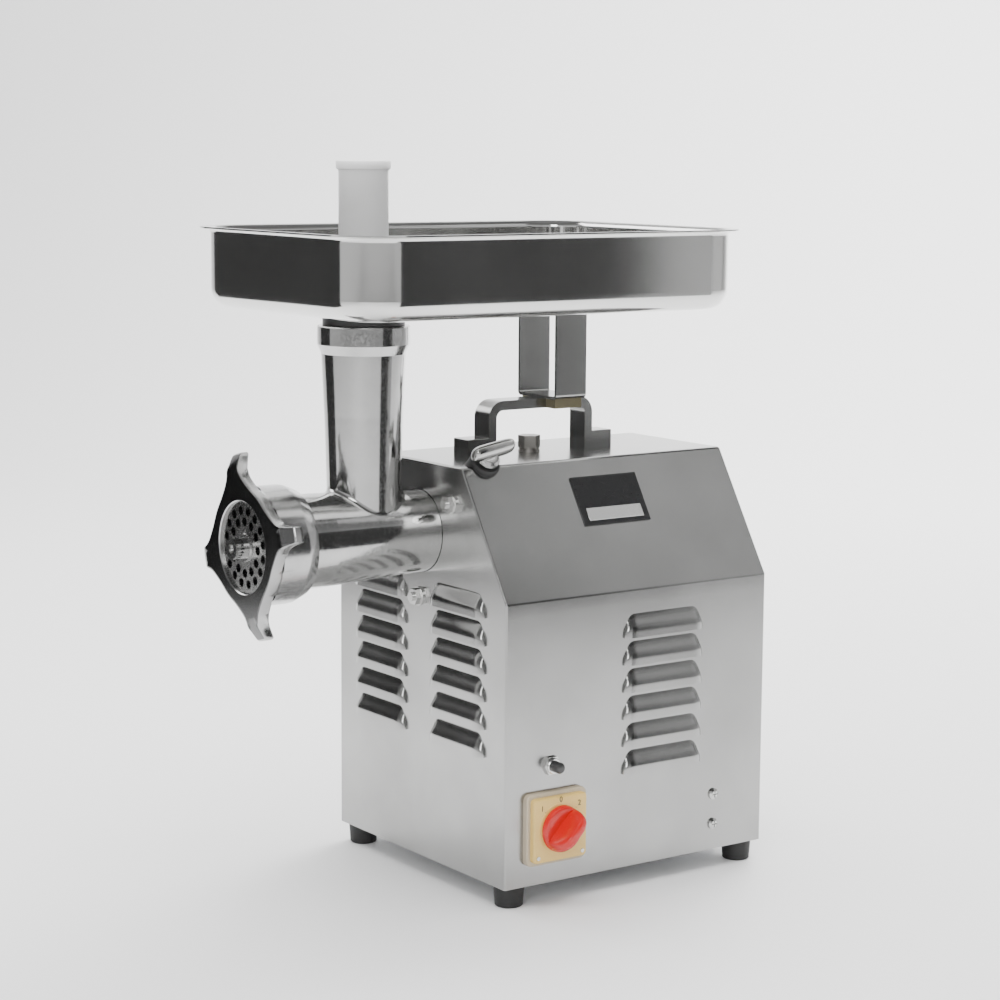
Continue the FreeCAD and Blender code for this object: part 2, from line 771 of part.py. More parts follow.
OUTPUT_TIP = "(second_module*(output_teeth/2 + 1))"
IDLER_TIP = "(first_module*(idler_teeth/2 + 1))"
CASE_OUTSIDE = [(MOTOR_Z, "motor_radius"), (IDLER_Z, f"({IDLER_TIP} + 1.5 + case_wall)"),
                (HEAD_Z, f"({OUTPUT_TIP} + 1.5 + 4.5)")]
CASE_INSIDE = [(MOTOR_Z, "(first_module*(first_pinion_teeth/2 + 1) + 4)"),
               (IDLER_Z, f"({IDLER_TIP} + 1.5)"), (HEAD_Z, f"({OUTPUT_TIP} + 1.5)")]
EAR = "8"


def ear_places():
    """Bolt centres of the gear case: two high, two at the idler, two below."""
    high = f"({OUTPUT_TIP} + 9)"
    low = f"(motor_radius + 6.2)"
    waist = f"({IDLER_TIP} + case_wall + 9)"
    for side in ("1", "-1"):
        yield (f"{side}*{high}*cos(35)", f"{HEAD_Z} + {high}*sin(35)")
        yield (f"{side}*{waist}", f"{IDLER_Z} - 8")
        yield (f"{side}*{low}*cos(45)", f"{MOTOR_Z} - {low}*sin(45)")


def make_gear_case():
    case = new_body("gear_case")
    wrap_discs(case, CASE_OUTSIDE, CASE_FRONT, "case_depth")
    ears = new_sketch(case, "XZ_Plane", f"0 - {CASE_FRONT} - case_front_wall")
    for x, z in ear_places():
        circle(ears, x, z, EAR)
    pad(case, ears, "case_depth - case_front_wall", reverse=True)
    filler = new_sketch(case, "XY_Plane", f"{HEAD_Z} + {OUTPUT_TIP}")
    circle(filler, "0", f"{FRONT} + plug_from_front", "8.2")
    pad(case, filler, f"{ROOF} - {HEAD_Z} - {OUTPUT_TIP}")
    wrap_discs(case, CASE_INSIDE, f"({CASE_FRONT} + case_front_wall)", "case_depth", cut=True)
    bores = new_sketch(case, "XZ_Plane", f"0 - {CASE_FRONT}")
    circle(bores, "0", HEAD_Z, "2*output_journal + 0.05")
    pocket(case, bores, "case_front_wall - 2")
    bores = new_sketch(case, "XZ_Plane", f"0 - {CASE_FRONT}")
    circle(bores, "0", HEAD_Z, "1.5*output_journal")
    pocket(case, bores, "case_front_wall + 1")
    bores = new_sketch(case, "XZ_Plane", f"0 - {CASE_FRONT} - 2")
    circle(bores, "0", IDLER_Z, "20.05")
    pocket(case, bores, "case_front_wall")
    threads = new_sketch(case, "XZ_Plane", f"0 - {CASE_BACK}")
    for x, z in ear_places():
        circle(threads, x, z, "3.05")
    pocket(case, threads, "24", reverse=True)
    throat = new_sketch(case, "XY_Plane", ROOF)
    circle(throat, "0", f"{FRONT} + plug_from_front", "5.45")
    pocket(case, throat, f"{ROOF} - {HEAD_Z} - {OUTPUT_TIP} + 3")

    cover = new_body("gear_case_cover")
    wrap_discs(cover, CASE_OUTSIDE, CASE_BACK, "cover_thickness")
    ears = new_sketch(cover, "XZ_Plane", f"0 - {CASE_BACK}")
    for x, z in ear_places():
        circle(ears, x, z, EAR)
    pad(cover, ears, "cover_thickness", reverse=True)
    seats = new_sketch(cover, "XZ_Plane", f"0 - {CASE_BACK}")
    circle(seats, "0", HEAD_Z, "31.05")
    circle(seats, "0", IDLER_Z, "20.05")
    pocket(cover, seats, "cover_thickness - 2")
    through = new_sketch(cover, "XZ_Plane", f"0 - {CASE_BACK}")
    circle(through, "0", MOTOR_Z, "23.55")
    for x, z in ear_places():
        circle(through, x, z, "3.2")
    pocket(cover, through, "cover_thickness + 1")

    bolt = hex_bolt("one_case_bolt", "3", "10", "4", "cover_thickness + 16", "6")
    copies("gear_case_bolts", bolt, [
        at(x, COVER_BACK, z, X_AXIS, -90) for x, z in ear_places()
    ])


def make_gears():
    pinion_start = f"({CASE_BACK} - first_gear_width - 6)"
    second_start = f"({CASE_FRONT} + case_front_wall)"
    shaped("motor_pinion", gear_shape("first_pinion_teeth", "first_module", "first_gear_width",
                                      "motor_journal - 2", -90),
           ("0", pinion_start, MOTOR_Z))
    shaped("idler_gear", gear_shape("idler_teeth", "first_module", "first_gear_width",
                                    "idler_journal + 3.5", 90 - 180 / value("idler_teeth")),
           ("0", pinion_start, IDLER_Z))
    shaped("idler_pinion", gear_shape("second_pinion_teeth", "second_module",
                                      "second_gear_width", "idler_journal + 3.5", -90),
           ("0", f"{second_start} + 0.5", IDLER_Z))
    shaped("output_gear", gear_shape("output_teeth", "second_module", "second_gear_width",
                                     "output_journal", 90 - 180 / value("output_teeth")),
           ("0", f"{second_start} + 0.5", HEAD_Z))

    journal = "idler_journal"
    hub = "(idler_journal + 3.5)"
    cover = "(case_depth - case_front_wall)"
    turned("idler_shaft", [
        ("3 - case_front_wall", "0"), ("3 - case_front_wall", journal), ("-2", journal), ("-2", hub),
        (f"{cover} - 2", hub), (f"{cover} - 2", journal), (f"{cover} + 9", journal),
        (f"{cover} + 9", "0"),
    ], ("0", second_start, IDLER_Z))

    shaft = turned("output_shaft", [
        ("shank_length + 3.5", "0"), ("shank_length + 3.5", "output_journal"),
        ("case_front + case_front_wall + second_gear_width + 1", "output_journal"),
        ("case_front + case_front_wall + second_gear_width + 1", "output_rear_journal"),
        ("case_front + case_depth + 9", "output_rear_journal"), ("case_front + case_depth + 9", "0"),
    ], ("0", FRONT, HEAD_Z))
    square = new_sketch(shaft, "XZ_Plane", "0 - shank_length - 3.5")
    half = "(tang_square/2 + running_gap)"
    rectangle(square, f"0 - {half}", half, f"0 - {half}", half)
    pocket(shaft, square, "24")

    thin = "(cover_thickness - 2.3)"
    bearings(
        "output_bearings",
        ("(output_journal + running_gap)", "(2*output_journal)", "13.5", f"{CASE_FRONT} + 0.3", HEAD_Z),
        ("(output_rear_journal + running_gap)", "31", thin, f"{CASE_BACK} + 0.2", HEAD_Z),
    )
    bearings(
        "idler_bearings",
        ("(idler_journal + running_gap)", "20", "10", f"{CASE_FRONT} + 2.2", IDLER_Z),
        ("(idler_journal + running_gap)", "20", thin, f"{CASE_BACK} + 0.2", IDLER_Z),
    )
    bearings(
        "motor_bearings",
        ("(motor_journal + running_gap)", "23.5", "(cover_thickness - 0.6)", f"{CASE_BACK} + 0.3",
         MOTOR_Z),
        ("(motor_journal + running_gap)", "23.5", "8", f"{MOTOR_BACK} + 0.2", MOTOR_Z),
    )
    turned("output_seal", [
        ("0", "output_journal + running_gap"), ("0", "1.5*output_journal - 0.05"),
        ("6.5", "1.5*output_journal - 0.05"), ("6.5", "output_journal + 4"),
        ("2", "output_journal + 4"), ("2", "output_journal + running_gap"),
    ], ("0", f"{CASE_FRONT} - 7", HEAD_Z))


# ---------------------------------------------------------------- motor

def make_motor():
    here = ("0", COVER_BACK, MOTOR_Z)
    wall = "(motor_radius - 4)"
    turned("motor_housing", [
        ("0", wall), ("0", "motor_radius"), ("motor_length", "motor_radius"), ("motor_length", wall),
    ], here)
    turned("motor_end_shield", [
        ("motor_length", "motor_journal + 2"), ("motor_length", "motor_radius"),
        ("motor_length + 8", "motor_radius - 3"), ("motor_length + 10.5", "28"),
        ("motor_length + 10.5", "motor_journal + 2"),
    ], here)
    shield = doc.getObject("motor_end_shield")
    seat = new_sketch(shield, "XZ_Plane", "0 - motor_length")
    circle(seat, "0", "0", "23.55")
    pocket(shield, seat, "8.4")
    core_start = "16"
    core_end = "(motor_length - 16)"
    turned("stator_core", [
        (core_start, "rotor_radius + air_gap"), (core_start, f"{wall} - 0.05"),
        (core_end, f"{wall} - 0.05"), (core_end, "rotor_radius + air_gap"),
    ], here)
    winding = turned("one_winding", [
        ("0", "rotor_radius + 6"), ("2", "rotor_radius + 3"), ("9", "rotor_radius + 3"),
        ("11", "rotor_radius + 6"), ("11", f"{wall} - 8"), ("9", f"{wall} - 5"), ("2", f"{wall} - 5"),
        ("0", f"{wall} - 8"),
    ], export=False)
    copies("stator_windings", winding, [
        at("0", f"{COVER_BACK} + 4.5", MOTOR_Z), at("0", f"{COVER_BACK} + motor_length - 15.5", MOTOR_Z),
    ])
    journal = "motor_journal"
    stub = "(motor_journal - 2)"
    trunk = "(motor_journal + 4)"
    turned("motor_shaft", [
        ("0 - cover_thickness - first_gear_width - 7", "0"),
        ("0 - cover_thickness - first_gear_width - 7", stub),
        ("0 - cover_thickness", stub), ("0 - cover_thickness", journal), ("1", journal), ("1", trunk),
        ("motor_length - 2", trunk), ("motor_length - 2", journal), ("motor_length + 9", journal),
        ("motor_length + 9", stub), ("motor_length + 21", stub), ("motor_length + 21", "0"),
    ], here)
    turned("rotor_core", [
        (f"{core_start} - 6", trunk), (f"{core_start} - 6", "rotor_radius - 4"),
        (core_start, "rotor_radius - 4"), (core_start, "rotor_radius"), (core_end, "rotor_radius"),
        (core_end, "rotor_radius - 4"), (f"{core_end} + 6", "rotor_radius - 4"),
        (f"{core_end} + 6", trunk),
    ], here)
    fan = turned("motor_fan", [
        ("motor_length + 13", stub), ("motor_length + 13", "motor_radius - 13"),
        ("motor_length + 14.5", "motor_radius - 13"), ("motor_length + 14.5", "14"),
        ("motor_length + 20", "13"), ("motor_length + 20", stub),
    ], here)
    blade = new_sketch(fan, "XZ_Plane", "0 - motor_length - 14")
    rectangle(blade, "12", "motor_radius - 14", "-1", "1")
    polar(fan, pad(fan, blade, "6", reverse=True), blade, "8")

    cradle = new_body("motor_cradle")
    base = new_sketch(cradle, "XY_Plane", f"{UNDER} + pan_sheet")
    rectangle(base, "-62", "62", f"{COVER_BACK} + 10", f"{MOTOR_BACK} - 10")
    pad(cradle, base, "3")
    for start in (f"({COVER_BACK} + 10)", f"({MOTOR_BACK} - 16)"):
        rib = new_sketch(cradle, "XZ_Plane", f"0 - {start}")
        polygon(rib, [
            ("-62", f"{UNDER} + pan_sheet"), ("62", f"{UNDER} + pan_sheet"),
            ("58", f"{MOTOR_Z} - 38"), ("-58", f"{MOTOR_Z} - 38"),
        ])
        pad(cradle, rib, "6", reverse=True)
    seat = new_sketch(cradle, "XZ_Plane", f"0 - {COVER_BACK}")
    circle(seat, "0", MOTOR_Z, "motor_radius + 0.05")
    pocket(cradle, seat, "motor_length")

    standing("start_capacitor", [
        ("0", f"{UNDER} + pan_sheet"), ("17", f"{UNDER} + pan_sheet"), ("17", f"{UNDER} + 88"),
        ("15", f"{UNDER} + 90"), ("4", f"{UNDER} + 90"), ("4", f"{UNDER} + 96"), ("0", f"{UNDER} + 96"),
    ], (f"20 - {SIDE} + 3", f"{FRONT} + 60", "0"))


# ---------------------------------------------------------------- socket and locking screw

LOCK_PLACE = ("0", f"{FRONT} + lock_from_front", HEAD_Z)


def leaning_sketch(body, reach):
    """A sketch square to the locking screw, at a distance from the head axis."""
    sketch = body.newObject("Sketcher::SketchObject", body.Name + "_lean")
    origin = [item for item in body.Origin.OriginFeatures if item.Role == "XY_Plane"]
    sketch.AttachmentSupport = [(origin[0], "")]
    sketch.MapMode = "FlatFace"
    sketch.AttachmentOffset = Placement(Vector(), Rotation(Y_AXIS, value("lock_angle")))
    tie(sketch, "AttachmentOffset.Rotation.Angle", "lock_angle")
    tie(sketch, "AttachmentOffset.Base.x", f"({reach})*sin(lock_angle)")
    tie(sketch, "AttachmentOffset.Base.y", "lock_from_front")
    tie(sketch, "AttachmentOffset.Base.z", f"({reach})*cos(lock_angle)")
    return sketch


def make_socket():
    bore = "(shank_radius + running_gap)"
    seat = "(1.5*output_journal)"
    socket = turned("head_socket", [
        ("sheet", bore), ("sheet", "socket_radius + 8"), ("sheet + 10", "socket_radius + 8"),
        ("sheet + 10", "socket_radius"), ("case_front", "socket_radius"), ("case_front", seat),
        ("shank_length + 6.5", seat), ("shank_length + 6.5", bore),
    ], ("0", FRONT, HEAD_Z))
    ears = new_sketch(socket, "XZ_Plane", "0 - sheet")
    for x, z in bolt_places():
        circle(ears, x, z, "9.5")
    pad(socket, ears, "10", reverse=True)
    boss = leaning_sketch(socket, "shank_radius + 8")
    circle(boss, "0", "0", "10")
    pad(socket, boss, "lock_reach - shank_radius - 24")
    thread = leaning_sketch(socket, "shank_radius - 8")
    circle(thread, "0", "0", "lock_thread_radius + running_gap")
    pocket(socket, thread, "lock_reach", reverse=True)
    holes = new_sketch(socket, "XZ_Plane", "0 - sheet")
    for x, z in bolt_places():
        circle(holes, x, z, "socket_bolt_radius + 0.05")
    pocket(socket, holes, "12")
    bolt = hex_bolt("one_socket_bolt", "socket_bolt_radius", "13", "5.5", "sheet + 11", "8.2")
    copies("socket_bolts", bolt, [
        at(x, FRONT, f"{HEAD_Z} + {z}", X_AXIS, 90) for x, z in bolt_places()
    ])

    stem = "lock_thread_radius"
    standing("lock_screw", [
        ("0", "shank_radius + 0.35"), (f"{stem} - 2", "shank_radius + 0.35"),
        (stem, "shank_radius + 2.35"), (stem, "lock_reach + 8"), ("9.6", "lock_reach + 8"),
        ("10.4", "lock_reach + 9"), ("10.4", "lock_reach + 12"), ("8.5", "lock_reach + 13.6"),
        ("0", "lock_reach + 13.6"),
    ], LOCK_PLACE, lean="lock_angle")
    knob = new_body("lock_knob", LOCK_PLACE, lean="lock_angle")
    hub = new_sketch(knob, "XY_Plane", "lock_reach + 13.6")
    circle(hub, "0", "0", "7.5")
    pad(knob, hub, "13")
    wing = new_sketch(knob, "YZ_Plane")
    polygon(wing, [
        ("-8", "lock_reach + 14.5"), ("8", "lock_reach + 14.5"), ("20", "lock_reach + 17"),
        ("22", "lock_reach + 20"), ("21", "lock_reach + 27"), ("18", "lock_reach + 29"),
        ("6", "lock_reach + 26.6"), ("-6", "lock_reach + 26.6"), ("-18", "lock_reach + 29"),
        ("-21", "lock_reach + 27"), ("-22", "lock_reach + 20"), ("-20", "lock_reach + 17"),
    ])
    pad(knob, wing, "8", both_ways=True)

    rim = standing("grommet_rim", [
        ("grommet_radius - 4", "lock_reach - 14"), ("grommet_radius + 1.4", "lock_reach - 14"),
        ("grommet_radius + 1.4", "lock_reach + 4"), ("grommet_radius", "lock_reach + 6"),
        ("grommet_radius - 4", "lock_reach + 6"),
    ], LOCK_PLACE, export=False, lean="lock_angle")
    house = new_body("casing_envelope", export=False)
    outline = new_sketch(house, "XZ_Plane")
    right = [(SIDE, UNDER), (SIDE, f"{UNDER} + side_height"), (ROOF_HALF, ROOF)]
    polygon(outline, right + [(f"0 - {x}", z) for x, z in reversed(right)])
    pad(house, outline, "casing_length", both_ways=True)
    outer = doc.addObject("Part::Cut", "grommet_outer")
    outer.Base = rim
    outer.Tool = house
    sleeve = standing("grommet_sleeve", [
        ("grommet_radius - 4", "lock_reach - 5"), ("grommet_radius - 0.05", "lock_reach - 5"),
        ("grommet_radius - 0.05", "lock_reach + 6"), ("grommet_radius - 4", "lock_reach + 6"),
    ], LOCK_PLACE, export=False, lean="lock_angle")
    both = doc.addObject("Part::Fuse", "lock_grommet")
    both.Base = outer
    both.Tool = sleeve
    both.Refine = True
    keep(both, "lock_grommet")


# ---------------------------------------------------------------- grinding head

HEAD_PLACE = ("0", FRONT, HEAD_Z)
NECK = "neck_from_front"
CHAMBER_BACK = "(0 - nut_front + 25.5)"
NUT_BACK = "(0 - nut_front + 46.5)"
THREAD = "(nut_radius - 4.5)"


def make_head():
    back_end = "(shank_length + 1)"
    head = turned("grinder_head", [
        (back_end, "0"), (back_end, "shank_radius - 1.5"), (f"{back_end} - 1.5", "shank_radius"),
        ("1.2", "shank_radius"), ("1.2", SHOULDER), ("-17", f"{SHOULDER} + 0.5"),
        ("0 - neck_from_front", f"({SHOULDER} + barrel_front_radius)/2"),
        (f"{NUT_BACK} + 24", "barrel_front_radius - 0.4"), (f"{NUT_BACK} + 1", "barrel_front_radius"),
        (f"{NUT_BACK} - 3", THREAD), (f"{PLATE_BACK} - 3.2", THREAD), (f"{PLATE_BACK} - 3.2", "0"),
    ], HEAD_PLACE)
    neck = new_sketch(head, "XZ_Plane", "neck_from_front")
    top = "(neck_top - axis_height)"
    polygon(neck, [
        ("0", "0"), ("neck_bottom_radius - 1", "0"), ("neck_bottom_radius", f"{top} - 125"),
        ("neck_bottom_radius + 1.6", f"{top} - 75"), ("neck_top_radius", f"{top} - collar_height - 8"),
        ("collar_radius", f"{top} - collar_height"), ("collar_radius", f"{top} - 1"),
        ("collar_radius - 1", top), ("0", top),
    ])
    fused = spin(head, neck, "V_Axis")

    def saddle(edge):
        centre = edge.CenterOfMass
        curved = not isinstance(edge.Curve, (Part.Line, Part.Circle))
        low = centre.z < value("barrel_front_radius + 5")
        return curved and low and edge.Length > 20

    doc.recompute()
    fillet(head, fused, "5", saddle)
    cavity = new_sketch(head, "YZ_Plane")
    journal = "(output_journal + 0.35)"
    polygon(cavity, [
        (f"{back_end} + 1", "0"), (f"{back_end} + 1", journal), ("-8", journal), ("-8", "bore_radius"),
        (CHAMBER_BACK, "bore_radius"), (CHAMBER_BACK, "plate_radius - 2"),
        (PLATE_BACK, "plate_radius - 2"), (PLATE_BACK, "plate_radius + 0.3"),
        (f"{PLATE_BACK} - 8", "plate_radius + 0.3"), (f"{PLATE_BACK} - 8", "0"),
    ])
    spin(head, cavity, "H_Axis", "Groove")
    throat = new_sketch(head, "XY_Plane")
    circle(throat, "0", "0 - neck_from_front", "neck_bore")
    pocket(head, throat, f"{top} + 5", reverse=True)
    key = new_sketch(head, "XZ_Plane", f"0 - {PLATE_BACK}")
    rectangle(key, "-2", "2", "0 - plate_radius - 1.5", "2.5 - plate_radius")
    pad(head, key, "3")
    doc.recompute()

    # Hole plate with its bush, notched for the key in the head.
    plate = turned("hole_plate", [
        (PLATE_FRONT, "12"), (f"{PLATE_FRONT} - 1.6", "11.4"),
        (f"{PLATE_FRONT} - 1.6", "8.8 + running_gap"), (PLATE_BACK, "8.8 + running_gap"),
        (PLATE_BACK, "plate_radius"), (PLATE_FRONT, "plate_radius"),
    ], HEAD_PLACE)
    for count, ring, start in ((16, "plate_radius*0.744", 11.25), (12, "plate_radius*0.524", 0.0)):
        hole = new_sketch(plate, "XZ_Plane", f"0 - {PLATE_FRONT}")
        circle(hole, f"{ring}*cos({start})", f"{ring}*sin({start})", "plate_hole_radius")
        polar(plate, pocket(plate, hole, "plate_thickness + 1"), hole, str(count))
    notch = new_sketch(plate, "XZ_Plane", f"0 - {PLATE_FRONT} + 1")
    rectangle(notch, "-2.3", "2.3", "0 - plate_radius - 1", "2.8 - plate_radius")
    pocket(plate, notch, "plate_thickness + 2")

    # Knife with four swept arms.
    knife = new_body("knife", HEAD_PLACE)
    knife_front = f"({PLATE_BACK} + running_gap)"
    hub = new_sketch(knife, "XZ_Plane", f"0 - {knife_front}")
    circle(hub, "0", "0", "15")
    pad(knife, hub, "12", reverse=True)
    arm = new_sketch(knife, "XZ_Plane", f"0 - {knife_front}")
    polygon(arm, [("0", "-5.5"), ("plate_radius - 5", "-3"), ("plate_radius - 4", "6"), ("0", "5")])
    polar(knife, pad(knife, arm, "9", reverse=True), arm, "4")
    square = new_sketch(knife, "XZ_Plane", f"0 - {knife_front}")
    rectangle(square, "-7.9", "7.9", "-7.9", "7.9")
    pocket(knife, square, "13")

    make_auger(knife_front)
    make_ring_nut()


def make_auger(knife_front):
    """Feed screw: round rear journal, square tang, flight, knife square and front stud."""
    stem = turned("auger_stem", [
        (f"{knife_front} + 13", "0"), (f"{knife_front} + 13", "11"), ("-40", "14"), ("-8.3", "19"),
        ("-8.3", "output_journal + 0.3"), ("0 + shank_length", "output_journal + 0.3"),
        ("0 + shank_length", "0"),
    ], HEAD_PLACE, export=False)
    tang = new_sketch(stem, "XZ_Plane", "0 - shank_length")
    half = "(tang_square/2)"
    rectangle(tang, f"0 - {half}", half, f"0 - {half}", half)
    pad(stem, tang, "25", reverse=True)
    square = new_sketch(stem, "XZ_Plane", f"0 - {knife_front} - 13")
    rectangle(square, "-7.8", "7.8", "-7.8", "7.8")
    pad(stem, square, "13")
    stud = new_sketch(stem, "XZ_Plane", f"0 - {knife_front}")
    circle(stud, "0", "0", "8.8")
    pad(stem, stud, f"{knife_front} + nut_front + 10.1")
    tip = new_sketch(stem, "XZ_Plane", "nut_front + 10.1")
    circle(tip, "0", "0", "4")
    pocket(stem, tip, "3")
    doc.recompute()

    start = value(f"{knife_front} + 13")
    end = value("-12")
    radius = value(AUGER_RADIUS)
    pitch = (end - start) / 3.25
    core = 9.0
    helix = Part.makeHelix(pitch, end - start - 8, core)
    section = Part.makePolygon([
        Vector(core, 0, 0), Vector(radius, 0, 1.6), Vector(radius, 0, 5.4), Vector(core, 0, 8),
        Vector(core, 0, 0),
    ])
    flight = Part.Wire(helix.Edges).makePipeShell([section], True, True)
    flight.rotate(Vector(), X_AXIS, -90)
    screw = shaped("auger_flight", flight, ("0", f"{FRONT} + {knife_front} + 13", HEAD_Z), export=False)
    auger = doc.addObject("Part::Fuse", "auger")
    auger.Base = stem
    auger.Tool = screw
    keep(auger, "auger")


def make_ring_nut():
    """Clamping ring: a turned ring with four lugs whose tips are swept back."""
    star = new_body("nut_star", HEAD_PLACE, export=False)
    outline = new_sketch(star, "XZ_Plane", "nut_front + 1")
    tip, root = "(lug_tip_radius + 1)", "(nut_radius + 0.3)"
    side = ((4.4, 1.0), (6.1, 0.69), (9.3, 0.41), (15.0, 0.21), (24.0, 0.07), (34.0, 0.01))
    points = []
    for quarter in range(4):
        middle = 15 + 90 * quarter
        for turn, share in [(-t, s) for t, s in reversed(side)] + list(side):
            radius = f"({root} + ({tip} - {root})*{share})"
            points.append((f"{radius}*cos({middle + turn})", f"{radius}*sin({middle + turn})"))
    polygon(outline, points)
    pad(star, outline, "60", reverse=True)
    dish = turned("nut_turning", [
        (NUT_BACK, f"{THREAD} + running_gap"), (NUT_BACK, "nut_radius - 3.5"),
        (f"{NUT_BACK} - 8", "nut_radius"), ("0 - nut_front + 12", "nut_radius + 0.4"),
        ("0 - nut_front + 9.5", "nut_radius + 14.5"), ("0 - nut_front + 15", "lug_tip_radius"),
        ("0 - nut_front + 8.5", "lug_tip_radius"), ("0 - nut_front", "nut_radius + 14.5"),
        ("0 - nut_front", "plate_radius - 1.7"), ("0 - nut_front + 1", "plate_radius - 2.7"),
        ("nut_lip - nut_front", "plate_radius - 2.7"), ("nut_lip - nut_front", "plate_radius + 0.6"),
        (f"{PLATE_BACK} - 3.6", "plate_radius + 0.6"),
        (f"{PLATE_BACK} - 3.6", f"{THREAD} + running_gap"),
    ], HEAD_PLACE, export=False)
    lugs = doc.addObject("Part::Common", "ring_nut")
    lugs.Base = dish
    lugs.Tool = star
    lugs.Refine = True
    keep(lugs, "ring_nut")


# ---------------------------------------------------------------- tray, pusher, handle

def tray_form(name, inset, floor, brim_low, brim_height, brim_width):
    """A drawn dish as a solid: rounded floor, straight wall and flared brim."""
    form = new_body(name, ("0", TRAY_Y, UNDER), export=False)
    half_x, half_y = f"(tray_half_width - {inset})", f"(tray_half_length - {inset})"
    outline = new_sketch(form, "XY_Plane", floor)
    round_rectangle(outline, half_x, half_y, f"tray_corner - {inset}")
    wall = pad(form, outline, f"{brim_low} + {brim_height} - {floor} - 0.01")
    floor_z = value(floor)
    wall = fillet(form, wall, f"tray_floor_radius - {inset}", lambda edge: (
        abs(edge.BoundBox.ZMax - floor_z) < 0.01))
    rim = new_sketch(form, "XY_Plane", brim_low)
    round_rectangle(rim, f"{half_x} + {brim_width}", f"{half_y} + {brim_width}",
                    f"tray_corner - {inset} + {brim_width}")
    brim = pad(form, rim, brim_height)
    low = value(brim_low)

    def throat(edge):
        box = edge.BoundBox
        level = abs(box.ZMax - low) < 0.01 and abs(box.ZMin - low) < 0.01
        reach = max(abs(box.XMax), abs(box.XMin))
        long = max(abs(box.YMax), abs(box.YMin))
        return level and reach < value(f"{half_x} + 0.01") and long < value(f"{half_y} + 0.01")

    fillet(form, brim, f"tray_flare + {inset}", throat)
    return form


def make_tray():
    """Deep-drawn tray with an outward rim, open to the neck through its floor."""
    outside = tray_form("tray_outside", "0", "tray_underside", "(tray_rim_height - tray_sheet)",
                        "tray_sheet", "tray_rim_width")
    inside = tray_form("tray_inside", "tray_sheet", "(tray_underside + tray_sheet)",
                       "tray_rim_height", "5", "(tray_rim_width + 3)")
    dish = doc.addObject("Part::Cut", "tray_dish")
    dish.Base = outside
    dish.Tool = inside
    mouth = doc.addObject("Part::Cylinder", "tray_mouth")
    tie(mouth, "Radius", "spigot_bore")
    tie(mouth, "Height", "20")
    put(mouth, "0", NECK_Y, f"{UNDER} + tray_underside - 5")
    tray = doc.addObject("Part::Cut", "tray")
    tray.Base = dish
    tray.Tool = mouth
    keep(tray, "tray")
    standing("tray_spigot", [
        ("spigot_bore", "neck_top - 34"), ("neck_bore - 1", "neck_top - 34"),
        ("neck_bore - running_gap*2", "neck_top - 32.5"), ("neck_bore - running_gap*2", "neck_top + 0.3"),
        ("collar_radius - 4.4", "neck_top + 0.3"), ("collar_radius - 4.4", "tray_underside"),
        ("spigot_bore", "tray_underside"),
    ], ("0", NECK_Y, UNDER))
    standing("pusher", [
        ("0", "axis_height + bore_radius + 3.7"), ("pusher_radius - 2", "axis_height + bore_radius + 3.7"),
        ("pusher_radius", "axis_height + bore_radius + 5.7"), ("pusher_radius", "pusher_top - 8.6"),
        ("pusher_flange_radius", "pusher_top - 7"), ("pusher_flange_radius", "pusher_top - 0.8"),
        ("pusher_flange_radius - 0.8", "pusher_top"), ("0", "pusher_top"),
    ], ("0", NECK_Y, UNDER))


